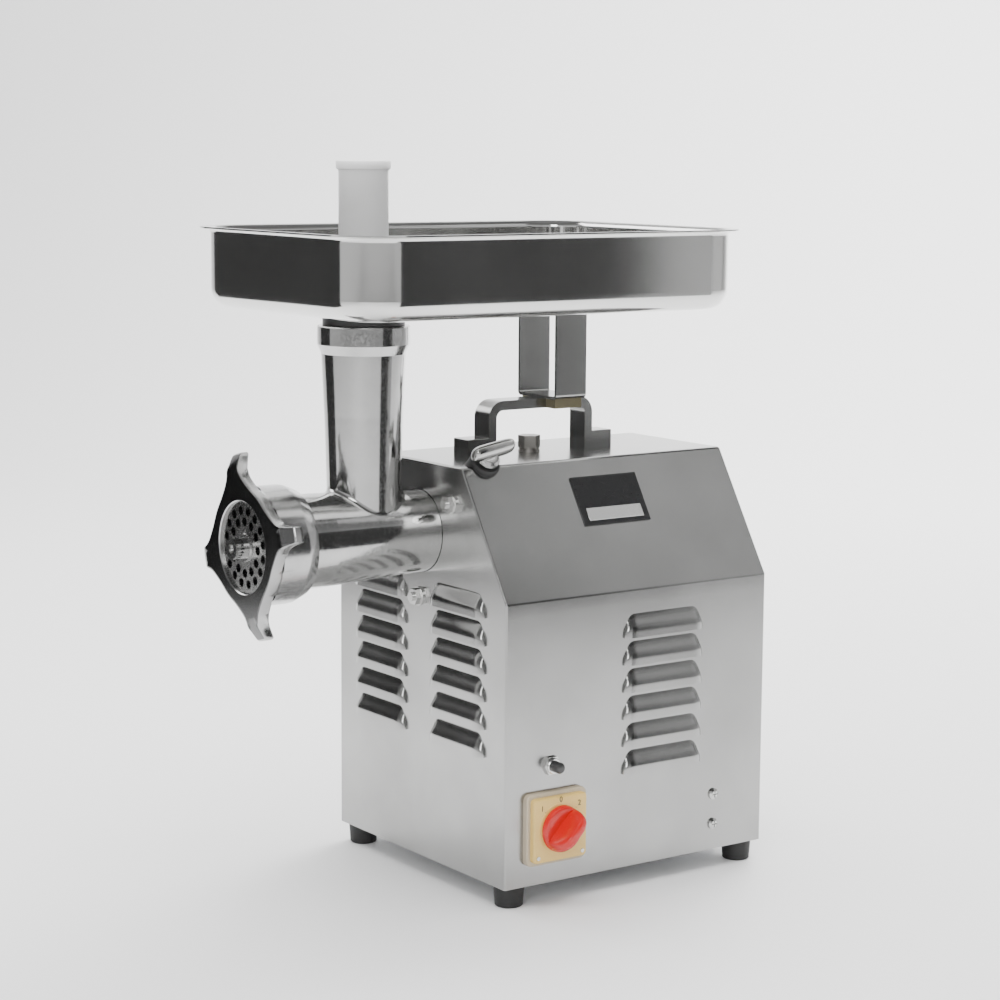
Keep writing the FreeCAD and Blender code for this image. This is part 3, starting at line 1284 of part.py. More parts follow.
def make_handle():
    handle = new_body("handle", ("0", FRONT, UNDER))
    outline = new_sketch(handle, "YZ_Plane")
    front, back = "handle_front", "(handle_front + handle_length)"
    polygon(outline, [
        (front, "casing_height"), (front, HANDLE_TOP), (back, HANDLE_TOP), (back, "casing_height"),
        (f"{back} - handle_bar", "casing_height"), (f"{back} - handle_bar", f"{HANDLE_TOP} - handle_bar"),
        (f"{front} + handle_bar", f"{HANDLE_TOP} - handle_bar"), (f"{front} + handle_bar", "casing_height"),
    ])
    bar = pad(handle, outline, "handle_width", both_ways=True)
    doc.recompute()
    outer_z = value(HANDLE_TOP)
    inner_z = value(f"{HANDLE_TOP} - handle_bar")
    bends = fillet(handle, bar, "handle_bend + handle_bar", lambda edge: (
        along(edge, X_AXIS) and abs(edge.CenterOfMass.z - outer_z) < 0.01))
    doc.recompute()
    fillet(handle, bends, "handle_bend", lambda edge: (
        along(edge, X_AXIS) and abs(edge.CenterOfMass.z - inner_z) < 0.01))

    block = new_body("one_handle_block", export=False)
    outline = new_sketch(block, "XY_Plane")
    rectangle(outline, "0 - handle_width/2", "handle_width/2", "0 - handle_foot_length/2",
              "handle_foot_length/2")
    solid = pad(block, outline, "handle_foot_height")
    doc.recompute()
    height = value("handle_foot_height")
    fillet(block, solid, "0.8", lambda edge: abs(edge.BoundBox.ZMin - height) < 0.01)
    bore = new_sketch(block, "XY_Plane")
    circle(bore, "0", "0", "4.05")
    pocket(block, bore, "12", reverse=True)
    first = "(handle_front - handle_foot_length/2)"
    second = "(handle_front + handle_length + handle_foot_length/2)"
    places = [at("0", f"{FRONT} + {y}", ROOF) for y in (first, second)]
    copies("handle_blocks", block, places)
    bolt = standing("one_handle_bolt", [
        ("0", "-3.4"), ("7.6", "-3.4"), ("7.6", "0"), ("4", "0"), ("4", "12"), ("0", "12"),
    ], export=False)
    socket = new_sketch(bolt, "XY_Plane", "-3.4")
    polygon(socket, hex_points("5"))
    pocket(bolt, socket, "2", reverse=True)
    copies("handle_bolts", bolt, [
        at("0", f"{FRONT} + {y}", f"{ROOF} - sheet") for y in (first, second)
    ])

    stiff = new_body("roof_stiffener")
    outline = new_sketch(stiff, "XY_Plane", f"{ROOF} - sheet")
    rectangle(outline, "5 - {0}".format(ROOF_HALF), f"{ROOF_HALF} - 5", f"{FRONT} + {first} - 13",
              f"{FRONT} + {second} + 13")
    pad(stiff, outline, "4", reverse=True)
    holes = new_sketch(stiff, "XY_Plane", ROOF)
    for y in (first, second):
        circle(holes, "0", f"{FRONT} + {y}", "7.9")
    circle(holes, "0", f"{FRONT} + plug_from_front", "9")
    pocket(stiff, holes, "10")

    # Folded support for the back of the tray, clamped on the handle.
    support = new_body("tray_support", ("0", f"{FRONT} + support_from_front", UNDER))
    outline = new_sketch(support, "XZ_Plane")
    half, thick, top = "support_half_gap", "support_sheet", "(tray_underside - 0.3)"
    polygon(outline, [
        (f"0 - {half} - {thick}", HANDLE_TOP), (f"{half} + {thick}", HANDLE_TOP),
        (f"{half} + {thick}", top), (half, top), (half, f"{HANDLE_TOP} + {thick}"),
        (f"0 - {half}", f"{HANDLE_TOP} + {thick}"), (f"0 - {half}", top), (f"0 - {half} - {thick}", top),
    ])
    strip = pad(support, outline, "support_width", both_ways=True)
    doc.recompute()
    low = value(HANDLE_TOP)
    outer = fillet(support, strip, "support_sheet + 1.5", lambda edge: (
        along(edge, Y_AXIS) and abs(edge.CenterOfMass.z - low) < 0.01))
    doc.recompute()
    shelf = value(f"{HANDLE_TOP} + support_sheet")
    fillet(support, outer, "1.5", lambda edge: (
        along(edge, Y_AXIS) and abs(edge.CenterOfMass.z - shelf) < 0.01))
    clamp = new_body("one_clamp", export=False)
    outline = new_sketch(clamp, "XY_Plane")
    rectangle(outline, "handle_width/2", f"{half} - 1.5", "0 - support_width/2 + 2", "support_width/2 - 2")
    pad(clamp, outline, "handle_bar", reverse=True)
    centre = at("0", f"{FRONT} + support_from_front", f"{UNDER} + {HANDLE_TOP}")
    other = at("0", f"{FRONT} + support_from_front", f"{UNDER} + {HANDLE_TOP}", Z_AXIS, 180)
    copies("support_clamps", clamp, [centre, other])

    plug = standing("oil_plug", [
        ("0", f"{ROOF} - 9"), ("5.4", f"{ROOF} - 9"), ("5.4", ROOF), ("9.6", ROOF),
        ("9.6", f"{ROOF} + 1.8"), ("9", f"{ROOF} + 1.8"), ("9", f"{ROOF} + 4"), ("0", f"{ROOF} + 4"),
    ], ("0", f"{FRONT} + plug_from_front", "0"))
    head = new_sketch(plug, "XY_Plane", f"{ROOF} + 3.5")
    polygon(head, hex_points("17"))
    pad(plug, head, "10.9")


# ---------------------------------------------------------------- electrics and badge

SWITCH_PLACE = (SIDE, f"{FRONT} + switch_from_front", f"{UNDER} + switch_height")


def square_plate(label, half, start, depth, corner, bore):
    """A rounded square plate standing off the side wall."""
    body = new_body(label, SWITCH_PLACE)
    outline = new_sketch(body, "YZ_Plane", start)
    rectangle(outline, f"0 - {half}", half, f"0 - {half}", half)
    solid = pad(body, outline, depth)
    doc.recompute()
    fillet(body, solid, corner, lambda edge: along(edge, X_AXIS))
    hole = new_sketch(body, "YZ_Plane", start)
    circle(hole, "0", "0", bore)
    pocket(body, hole, f"{depth} + 1", reverse=True)
    return body


def make_electrics():
    square_plate("switch_frame", "switch_frame_half", "0", "switch_frame_depth", "6", "10")
    square_plate("switch_plate", "switch_plate_half", "switch_frame_depth", "switch_plate_depth", "4",
                 "5")
    face = "(switch_frame_depth + switch_plate_depth)"
    knob = new_body("switch_knob", SWITCH_PLACE)
    base = new_sketch(knob, "YZ_Plane", f"{face} + 0.4")
    circle(base, "0", "0", "switch_knob_radius + 1")
    pad(knob, base, "5")
    grip = new_sketch(knob, "YZ_Plane", f"{face} + 4")
    reach = "switch_knob_radius"
    points = [(reach, "2.6"), (f"{reach} - 2.4", "5.4"), (f"2.4 - {reach}", "5.4"), (f"0 - {reach}", "2.6"),
              (f"0 - {reach}", "-2.6"), (f"2.4 - {reach}", "-5.4"), (f"{reach} - 2.4", "-5.4"),
              (reach, "-2.6")]
    turn = "cos(45)"
    polygon(grip, [(f"({y} - ({z}))*{turn}", f"({y} + ({z}))*{turn}") for y, z in points])
    pad(knob, grip, "switch_knob_depth - 3.6")
    spindle = new_body("switch_spindle", SWITCH_PLACE)
    rod = new_sketch(spindle, "YZ_Plane", "-12")
    circle(rod, "0", "0", "3")
    pad(spindle, rod, f"{face} + 12.4")
    core = new_body("switch_body", SWITCH_PLACE)
    outline = new_sketch(core, "YZ_Plane", "0 - sheet - 0.3")
    rectangle(outline, "-24", "24", "-22", "24")
    pad(core, outline, "38", reverse=True)
    hole = new_sketch(core, "YZ_Plane", "0")
    circle(hole, "0", "0", "3.04")
    pocket(core, hole, "14")

    button = (SIDE, f"{FRONT} + reset_from_front", f"{UNDER} + reset_height")
    nut = new_body("reset_nut", button)
    outline = new_sketch(nut, "YZ_Plane")
    polygon(outline, hex_points("15"))
    pad(nut, outline, "3")
    collar = new_sketch(nut, "YZ_Plane", "2.9")
    circle(collar, "0", "0", "6.3")
    pad(nut, collar, "2.6")
    bore = new_sketch(nut, "YZ_Plane", "-1")
    circle(bore, "0", "0", "4.84")
    pocket(nut, bore, "12", reverse=True)
    cap = new_body("reset_cap", button)
    outline = new_sketch(cap, "YZ_Plane", "-8")
    circle(outline, "0", "0", "4.8")
    solid = pad(cap, outline, "23")
    doc.recompute()
    crown = 15.0
    fillet(cap, solid, "2.2", lambda edge: abs(edge.BoundBox.XMin - crown) < 0.01)
    core = new_body("breaker_body", button)
    outline = new_sketch(core, "YZ_Plane", "0 - sheet - 0.3")
    rectangle(outline, "-14", "14", "-13", "17")
    pad(core, outline, "34", reverse=True)
    hole = new_sketch(core, "YZ_Plane", "0")
    circle(hole, "0", "0", "4.84")
    pocket(core, hole, "14")

    gland = turned("cable_gland", [
        ("-9", "5"), ("-9", "8"), ("0.05", "8"), ("0.05", "12"), ("3", "12"), ("3", "8"), ("12", "8"),
        ("15", "6.5"), ("15", "5"),
    ], ("0 - end_louvre_offset", BACK, f"{UNDER} + 40"))
    hex_part = new_sketch(gland, "XZ_Plane", "-3")
    polygon(hex_part, hex_points("21"))
    pad(gland, hex_part, "7", reverse=True)
    bore = new_sketch(gland, "XZ_Plane", "12")
    circle(bore, "0", "0", "5")
    pocket(gland, bore, "30")


def make_badge():
    """Flat rating badge on the switch-side chamfer."""
    lean = "atan((casing_height - side_height)/chamfer_inset)"
    centre_x = f"({ROOF_HALF} + badge_down_slope*{CHAMFER_UP})"
    centre_z = f"({ROOF} - badge_down_slope*{CHAMFER_OUT})"
    badge = new_body("badge", (centre_x, f"{FRONT} + badge_from_front", centre_z), lean=lean)
    outline = new_sketch(badge, "XY_Plane")
    rectangle(outline, "0 - badge_width/2", "badge_width/2", "0 - badge_length/2", "badge_length/2")
    solid = pad(badge, outline, "1.2")


make_casing()
make_end_panels()
make_floor()
make_gear_case()
make_gears()
make_motor()
make_socket()
make_head()
make_tray()
make_handle()
make_electrics()
make_badge()
doc.recompute()

# ---------------------------------------------------------------- checks and export

for item in doc.Objects:
    if "Invalid" in item.State or "Error" in item.State:
        raise ValueError(f"{item.Name} ({item.Label}) failed: {item.State}")
for item in nodes:
    shape = item.Shape
    if shape.isNull() or not shape.isValid() or not shape.Solids:
        raise ValueError(f"{item.Label} has no valid solid")

os.makedirs("parts", exist_ok=True)
for item in nodes:
    item.Shape.exportStep(f"parts/{item.Label}.step")
    box = item.Shape.BoundBox
    print(f"{item.Label:22s} {len(item.Shape.Solids)} solid(s) "
          f"x {box.XMin:8.2f} {box.XMax:8.2f}  y {box.YMin:8.2f} {box.YMax:8.2f}  "
          f"z {box.ZMin:8.2f} {box.ZMax:8.2f}")
print(len(nodes), "sub-parts")
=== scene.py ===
"""Looks of the bench-top meat grinder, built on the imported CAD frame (metres, +Z up)."""

import json
import math

import bmesh
import bpy
from mathutils import Matrix, Vector


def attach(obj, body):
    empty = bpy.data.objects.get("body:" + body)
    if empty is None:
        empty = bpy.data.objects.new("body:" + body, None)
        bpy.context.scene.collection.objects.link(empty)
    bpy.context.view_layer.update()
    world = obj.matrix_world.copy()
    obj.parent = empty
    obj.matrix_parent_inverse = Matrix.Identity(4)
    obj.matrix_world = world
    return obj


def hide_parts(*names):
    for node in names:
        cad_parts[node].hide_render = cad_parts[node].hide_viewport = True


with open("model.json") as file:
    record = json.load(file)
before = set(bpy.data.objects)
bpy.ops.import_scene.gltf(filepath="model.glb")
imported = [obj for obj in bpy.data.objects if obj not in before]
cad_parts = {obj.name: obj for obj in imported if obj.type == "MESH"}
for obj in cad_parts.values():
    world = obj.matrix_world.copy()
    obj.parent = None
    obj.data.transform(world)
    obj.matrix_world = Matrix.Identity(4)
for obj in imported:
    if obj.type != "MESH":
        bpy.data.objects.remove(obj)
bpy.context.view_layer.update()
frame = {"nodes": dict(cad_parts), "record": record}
nodes = frame["nodes"]
scene = bpy.context.scene

# Shared sizes, metres in the row frame.
FRONT = -0.140
BACK = 0.140
SIDE = 0.130
UNDER = 0.018
KNEE = UNDER + 0.2415
ROOF = UNDER + 0.3475
ROOF_HALF = 0.0644
HEAD_Z = UNDER + 0.287
NECK_Y = FRONT - 0.056


# ---------------------------------------------------------------- materials

class Graph:
    """Small helper round one material's node tree."""

    def __init__(self, name):
        self.material = bpy.data.materials.new(name)
        self.material.use_nodes = True
        self.tree = self.material.node_tree
        self.tree.nodes.clear()
        self.shader = self.add("ShaderNodeBsdfPrincipled")
        output = self.add("ShaderNodeOutputMaterial")
        self.link(self.shader.outputs[0], output.inputs["Surface"])
        self.coords = self.add("ShaderNodeTexCoord").outputs["Object"]

    def add(self, kind, **settings):
        node = self.tree.nodes.new(kind)
        for key, setting in settings.items():
            setattr(node, key, setting)
        return node

    def link(self, source, target):
        self.tree.links.new(source, target)

    def set(self, **values):
        for key, setting in values.items():
            self.shader.inputs[key.replace("_", " ")].default_value = setting

    def mapped(self, scale):
        node = self.add("ShaderNodeMapping")
        node.inputs["Scale"].default_value = scale
        self.link(self.coords, node.inputs["Vector"])
        return node.outputs[0]

    def noise(self, scale, detail=4.0, stretch=(1, 1, 1), rough=0.55):
        node = self.add("ShaderNodeTexNoise")
        node.inputs["Scale"].default_value = scale
        node.inputs["Detail"].default_value = detail
        node.inputs["Roughness"].default_value = rough
        self.link(self.mapped(stretch), node.inputs["Vector"])
        return node.outputs["Fac"]

    def ramp(self, value, low, high, out_low, out_high):
        node = self.add("ShaderNodeMapRange")
        node.inputs["From Min"].default_value = low
        node.inputs["From Max"].default_value = high
        node.inputs["To Min"].default_value = out_low
        node.inputs["To Max"].default_value = out_high
        self.link(value, node.inputs["Value"])
        return node.outputs[0]

    def blend(self, factor, first, second):
        node = self.add("ShaderNodeMix", data_type="RGBA")
        self.link(factor, node.inputs["Factor"])
        node.inputs["A"].default_value = (*first, 1)
        node.inputs["B"].default_value = (*second, 1)
        return node.outputs["Result"]

    def bump(self, height, strength, distance, after=None):
        node = self.add("ShaderNodeBump")
        node.inputs["Strength"].default_value = strength
        node.inputs["Distance"].default_value = distance
        self.link(height, node.inputs["Height"])
        if after is not None:
            self.link(after, node.inputs["Normal"])
        return node.outputs[0]

    def wear_the(self, normal):
        self.link(normal, self.shader.inputs["Normal"])


def brushed(name, colour, rough=0.3, grain=(1, 1, 60), strength=0.25, spread=0.08, fine=900.0,
            mottling=0.06):
    """Brushed metal: stretched grain in roughness, tint and relief, with faint cloudy wear."""
    g = Graph(name)
    lines = g.noise(fine, 3.0, grain, 0.7)
    cloud = g.noise(7.0, 5.0)
    dark = tuple(max(0.0, c - mottling) for c in colour)
    bright = tuple(min(1.0, c + mottling) for c in colour)
    tint = g.blend(g.ramp(cloud, 0.3, 0.7, 0, 1), dark, bright)
    g.link(tint, g.shader.inputs["Base Color"])
    g.set(Metallic=1.0)
    mixed = g.add("ShaderNodeMath", operation="ADD")
    g.link(g.ramp(lines, 0.25, 0.75, rough - spread, rough + spread), mixed.inputs[0])
    g.link(g.ramp(cloud, 0.3, 0.7, -0.03, 0.03), mixed.inputs[1])
    g.link(mixed.outputs[0], g.shader.inputs["Roughness"])
    g.wear_the(g.bump(lines, strength, 0.00004))
    return g.material


def polished(name, colour, rough=0.08, marks=0.05):
    """Bright metal with faint smears and hair scratches."""
    g = Graph(name)
    smear = g.noise(30.0, 5.0)
    hair = g.noise(700.0, 2.0, (1, 0.05, 1))
    tint = g.blend(g.ramp(smear, 0.35, 0.7, 0, 1), tuple(c * 0.94 for c in colour), colour)
    g.link(tint, g.shader.inputs["Base Color"])
    g.set(Metallic=1.0)
    g.link(g.ramp(smear, 0.3, 0.75, rough, rough + marks), g.shader.inputs["Roughness"])
    g.wear_the(g.bump(hair, 0.06, 0.00003))
    return g.material


def cast(name, colour, rough=0.3, lump=0.25, metallic=1.0):
    """Satin casting: fine orange-peel relief and uneven sheen."""
    g = Graph(name)
    grain = g.noise(420.0, 4.0)
    wave = g.noise(45.0, 4.0)
    tint = g.blend(g.ramp(wave, 0.3, 0.7, 0, 1), tuple(c * 0.9 for c in colour), colour)
    g.link(tint, g.shader.inputs["Base Color"])
    g.set(Metallic=metallic)
    g.link(g.ramp(grain, 0.3, 0.7, rough - 0.05, rough + 0.07), g.shader.inputs["Roughness"])
    low = g.bump(wave, 0.12, 0.0006)
    g.wear_the(g.bump(grain, lump, 0.00006, low))
    return g.material


def plastic(name, colour, rough=0.4, grain=0.1, coat=0.0, through=0.0, glow=0.0):
    """Moulded plastic or rubber with a fine textured skin."""
    g = Graph(name)
    skin = g.noise(900.0, 3.0)
    cloud = g.noise(25.0, 3.0)
    tint = g.blend(g.ramp(cloud, 0.3, 0.7, 0, 1), tuple(c * 0.93 for c in colour), colour)
    g.link(tint, g.shader.inputs["Base Color"])
    g.link(g.ramp(skin, 0.3, 0.7, rough - 0.04, rough + 0.06), g.shader.inputs["Roughness"])
    g.set(Coat_Weight=coat, Transmission_Weight=through)
    if glow:
        g.set(Subsurface_Weight=glow, Subsurface_Radius=(0.01, 0.01, 0.01), Subsurface_Scale=0.5)
    g.wear_the(g.bump(skin, grain, 0.00005))
    return g.material


MATERIALS = {
    "casing_steel": brushed("casing_steel", (0.37, 0.37, 0.365), 0.21, (1.0, 1.0, 40.0), 0.22),
    "tray_steel": brushed("tray_steel", (0.72, 0.72, 0.71), 0.13, (1.0, 1.0, 25.0), 0.08, 0.04),
    "handle_steel": brushed("handle_steel", (0.34, 0.34, 0.335), 0.22, (8.0, 1.0, 8.0), 0.12),
    "head_metal": cast("head_metal", (0.54, 0.54, 0.535), 0.12, 0.07),
    "ring_metal": cast("ring_metal", (0.50, 0.50, 0.50), 0.18, 0.08),
    "plate_steel": brushed("plate_steel", (0.36, 0.36, 0.355), 0.25, (1.0, 1.0, 1.0), 0.10),
    "shaft_steel": brushed("shaft_steel", (0.60, 0.60, 0.60), 0.22, (1.0, 30.0, 1.0)),
    "gear_steel": brushed("gear_steel", (0.48, 0.48, 0.49), 0.32, (1.0, 1.0, 1.0)),
    "core_steel": brushed("core_steel", (0.34, 0.34, 0.36), 0.42, (1.0, 60.0, 1.0)),
    "bearing_steel": polished("bearing_steel", (0.62, 0.62, 0.63), 0.14),
    "fastener_steel": polished("fastener_steel", (0.60, 0.60, 0.59), 0.18),
    "bright_steel": polished("bright_steel", (0.80, 0.80, 0.79), 0.22),
    "knob_bright": cast("knob_bright", (0.45, 0.45, 0.44), 0.14, 0.08),
    "zinc_steel": brushed("zinc_steel", (0.58, 0.59, 0.60), 0.4, (1.0, 1.0, 1.0)),
    "cast_case": cast("cast_case", (0.20, 0.21, 0.22), 0.5, 0.6, 0.3),
    "motor_paint": cast("motor_paint", (0.12, 0.14, 0.15), 0.42, 0.3, 0.0),
    "copper_wire": brushed("copper_wire", (0.52, 0.24, 0.10), 0.35, (1.0, 30.0, 1.0)),
    "capacitor_plastic": plastic("capacitor_plastic", (0.70, 0.70, 0.66), 0.35),
    "black_rubber": plastic("black_rubber", (0.018, 0.018, 0.018), 0.6, 0.5),
    "clamp_bronze": cast("clamp_bronze", (0.17, 0.15, 0.09), 0.4, 0.4, 0.4),
    "plug_metal": cast("plug_metal", (0.32, 0.31, 0.29), 0.35, 0.3),
    "frame_plastic": plastic("frame_plastic", (0.78, 0.66, 0.48), 0.16, 0.05, 0.3, 0.35),
    "plate_plastic": plastic("plate_plastic", (0.80, 0.55, 0.16), 0.3, 0.1, 0.3),
    "red_plastic": plastic("red_plastic", (0.62, 0.008, 0.006), 0.22, 0.06, 0.3),
    "boot_plastic": plastic("boot_plastic", (0.03, 0.03, 0.03), 0.3, 0.1, 0.3),
    "black_plastic": plastic("black_plastic", (0.025, 0.025, 0.027), 0.45, 0.3),
    "fan_plastic": plastic("fan_plastic", (0.08, 0.08, 0.085), 0.5, 0.3),
    "white_plastic": plastic("white_plastic", (0.97, 0.97, 0.965), 0.34, 0.08, 0.0, 0.0, 0.4),
    # Painted shade: the spigot ring under the tray is a dark part made near-black. The near-black stands in
    # for the shadowed gap between the collar top and the tray.
    "spigot_plastic": plastic("spigot_plastic", (0.02, 0.02, 0.02), 0.4, 0.2),
    "badge_plate": plastic("badge_plate", (0.006, 0.006, 0.007), 0.3, 0.05, 0.1),
}

SLOTS = {item["node"]: item["material_slot"] for item in frame["record"]["subparts"]}


def smooth(obj, degrees=28):
    """Smooth faces, keeping edges sharper than an angle."""
    mesh = obj.data
    for face in mesh.polygons:
        face.use_smooth = True
    mesh.update()
    work = bmesh.new()
    work.from_mesh(mesh)
    limit = math.radians(degrees)
    for edge in work.edges:
        if len(edge.link_faces) == 2:
            edge.smooth = edge.calc_face_angle(0.0) < limit
    work.to_mesh(mesh)
    work.free()


def dress(obj, slot_name):
    obj.data.materials.clear()
    obj.data.materials.append(MATERIALS[slot_name])
    return obj


for name, node in nodes.items():
    dress(node, SLOTS[name])


# ---------------------------------------------------------------- mesh helpers

def make(name, verts, faces, slot_name, body="root", degrees=28):
    mesh = bpy.data.meshes.new(name)
    mesh.from_pydata([tuple(v) for v in verts], [], faces)
    mesh.update()
    obj = bpy.data.objects.new(name, mesh)
    scene.collection.objects.link(obj)
    work = bmesh.new()
    work.from_mesh(mesh)
    bmesh.ops.remove_doubles(work, verts=work.verts, dist=1e-7)
    bmesh.ops.recalc_face_normals(work, faces=work.faces)
    work.to_mesh(mesh)
    work.free()
    smooth(obj, degrees)
    dress(obj, slot_name)
    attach(obj, body)
    return obj


def arc_points(corners, radii, steps=8):
    """A closed 2-D outline with rounded corners; radii may be 0."""
    count = len(corners)
    result = []
    for index, corner in enumerate(corners):
        here = Vector(corner)
        before = (Vector(corners[index - 1]) - here).normalized()
        after = (Vector(corners[(index + 1) % count]) - here).normalized()
        radius = radii[index] if isinstance(radii, (list, tuple)) else radii
        if radius <= 0:
            result.append(tuple(here))
            continue
        half = math.acos(max(-1, min(1, before.dot(after)))) / 2
        reach = radius / math.tan(half)
        centre = here + (before + after).normalized() * (radius / math.sin(half))
        start = here + before * reach - centre
        end = here + after * reach - centre
        sweep = math.atan2(start.x * end.y - start.y * end.x, start.dot(end))
        for step in range(steps + 1):
            turn = sweep * step / steps
            c, s = math.cos(turn), math.sin(turn)
            result.append((centre.x + start.x * c - start.y * s, centre.y + start.x * s + start.y * c))
    return result


def lathe(name, profile, centre, axis, slot_name, body="root", around=96, degrees=28, closed=True):
    """Turn a profile of (along, radius) round an axis through centre."""
    axis = Vector(axis).normalized()
    side = axis.orthogonal().normalized()
    other = axis.cross(side)
    centre = Vector(centre)
    verts, faces, rings = [], [], []
    for along, radius in profile:
        if radius < 1e-7:
            rings.append([len(verts)] * around)
            verts.append(centre + axis * along)
            continue
        ring = []
        for k in range(around):
            turn = 2 * math.pi * k / around
            ring.append(len(verts))
            verts.append(centre + axis * along + (side * math.cos(turn) + other * math.sin(turn)) * radius)
        rings.append(ring)
    pairs = list(zip(rings[:-1], rings[1:]))
    if closed:
        pairs.append((rings[-1], rings[0]))
    for low, high in pairs:
        for k in range(around):
            n = (k + 1) % around
            face = []
            for v in (low[k], low[n], high[n], high[k]):
                if v not in face:
                    face.append(v)
            if len(face) > 2:
                faces.append(face)
    return make(name, verts, faces, slot_name, body, degrees)


# ---------------------------------------------------------------- casing with pressed louvres

SHEET = 0.0015
RIM = 0.0016
HOOD_SHEET = 0.0011
HEAD_HOLE = 0.0362
SIDE_LOUVRE = 0.086
END_LOUVRE = 0.080
LOUVRE_RISE = 0.0200
LOUVRE_DEPTH = 0.0058


def louvre_mesh(length, along_steps=36, up_steps=14):
    """One pressed hood as (u, w, h): along the wall, above the lip, out from the wall."""
    verts, faces = [], []
    half = length / 2
    end = 0.010
    for i in range(along_steps + 1):
        t = -1 + 2 * i / along_steps
        u = half * math.sin(t * math.pi / 2) if abs(t) < 1 else half * t
        near = max(0.0, abs(u) - (half - end)) / end
        taper = math.sqrt(max(0.0, 1 - near * near))
        for j in range(up_steps + 1):
            w = j / up_steps
            ease = 1 - w
            slope = min(1.0, ease * 1.45)
            rise = slope * slope * (3 - 2 * slope)
            lift = LOUVRE_DEPTH * taper * (0.90 * rise + 0.10 * ease)
            verts.append((u * (1 - 0.055 * w * w), LOUVRE_RISE * w * (0.35 + 0.65 * taper), lift))
    verts += [(u, w, h - HOOD_SHEET) for u, w, h in verts]
    row = up_steps + 1
    inner = (along_steps + 1) * row
    for i in range(along_steps):
        for j in range(up_steps):
            a = i * row + j
            faces.append((a, a + row, a + row + 1, a + 1))
            faces.append(tuple(inner + k for k in (a + 1, a + row + 1, a + row, a)))
        for j, flip in ((0, False), (up_steps, True)):
            a = i * row + j
            edge = (a, a + inner, a + inner + row, a + row)
            faces.append(tuple(reversed(edge)) if flip else edge)
    return verts, faces


def wall_with_louvres(name, place, columns, lips, length, outline, slot_name):
    """A flat wall with slots behind the hoods; place(u, z, out) gives a row-frame point.

    columns are the hood centres along u, and outline is (u low, u high, z low, z high).
    """
    u_low, u_high, z_low, z_high = outline
    u_cuts = sorted({u_low, u_high} | {c + s * (length / 2 - 0.004) for c in columns for s in (-1, 1)})
    z_cuts = sorted({z_low, z_high} | {z for lip in lips for z in (lip, lip + 0.0095)})
    slots = [(c - length / 2 + 0.003, c + length / 2 - 0.003) for c in columns]
    verts, faces = [], []

    def add(u, z, out=0.0):
        verts.append(place(u, z, out))
        return len(verts) - 1

    for u0, u1 in zip(u_cuts[:-1], u_cuts[1:]):
        for z0, z1 in zip(z_cuts[:-1], z_cuts[1:]):
            in_slot = any(lo <= u0 + 1e-6 and u1 - 1e-6 <= hi for lo, hi in slots)
            in_slot = in_slot and any(abs(z0 - lip) < 1e-6 for lip in lips)
            if not in_slot:
                faces.append((add(u0, z0), add(u1, z0), add(u1, z1), add(u0, z1)))
    wall = make(name, verts, faces, slot_name)
    for face in wall.data.polygons:
        face.use_smooth = False
    thick = wall.modifiers.new("sheet", "SOLIDIFY")
    thick.thickness = SHEET
    thick.offset = -1
    return wall


def hoods(name, place, columns, lips, length, slot_name):
    base_verts, base_faces = louvre_mesh(length)
    verts, faces = [], []
    for centre in columns:
        for lip in lips:
            start = len(verts)
            verts += [place(centre + u, lip + w, h + 0.00005) for u, w, h in base_verts]
            faces += [tuple(start + k for k in face) for face in base_faces]
    return make(name, verts, faces, slot_name, degrees=50)


SIDE_LIPS = [UNDER + 0.0825 + 0.0237 * k for k in range(6)]
END_LIPS = [UNDER + 0.1075 + 0.0237 * k for k in range(6)]
SIDE_CENTRE = FRONT + 0.1648


def right_place(u, z, out):
    return (SIDE + out, u, z)


def left_place(u, z, out):
    return (-SIDE - out, -u, z)


def front_place(u, z, out):
    return (u, FRONT - out, z)


def rear_place(u, z, out):
    return (-u, BACK + out, z)


def bend(before, corner, after, radius, steps=10):
    """Points of a rounded corner, from the first side to the second."""
    here = Vector(corner)
    one = (Vector(before) - here).normalized()
    two = (Vector(after) - here).normalized()
    half = math.acos(max(-1, min(1, one.dot(two)))) / 2
    reach = radius / math.tan(half)
    centre = here + (one + two).normalized() * (radius / math.sin(half))
    start = here + one * reach - centre
    end = here + two * reach - centre
    sweep = math.atan2(start.x * end.y - start.y * end.x, start.dot(end))
    points = []
    for k in range(steps + 1):
        c, s = math.cos(sweep * k / steps), math.sin(sweep * k / steps)
        points.append((centre.x + start.x * c - start.y * s, centre.y + start.x * s + start.y * c))
    return points


def inset(outline, depth):
    """The same open outline moved inwards by a depth."""
    result = []
    for k, (x, z) in enumerate(outline):
        before = Vector(outline[max(0, k - 1)])
        after = Vector(outline[min(len(outline) - 1, k + 1)])
        run = (after - before).normalized()
        result.append((x - run.y * depth, z + run.x * depth))
    return result


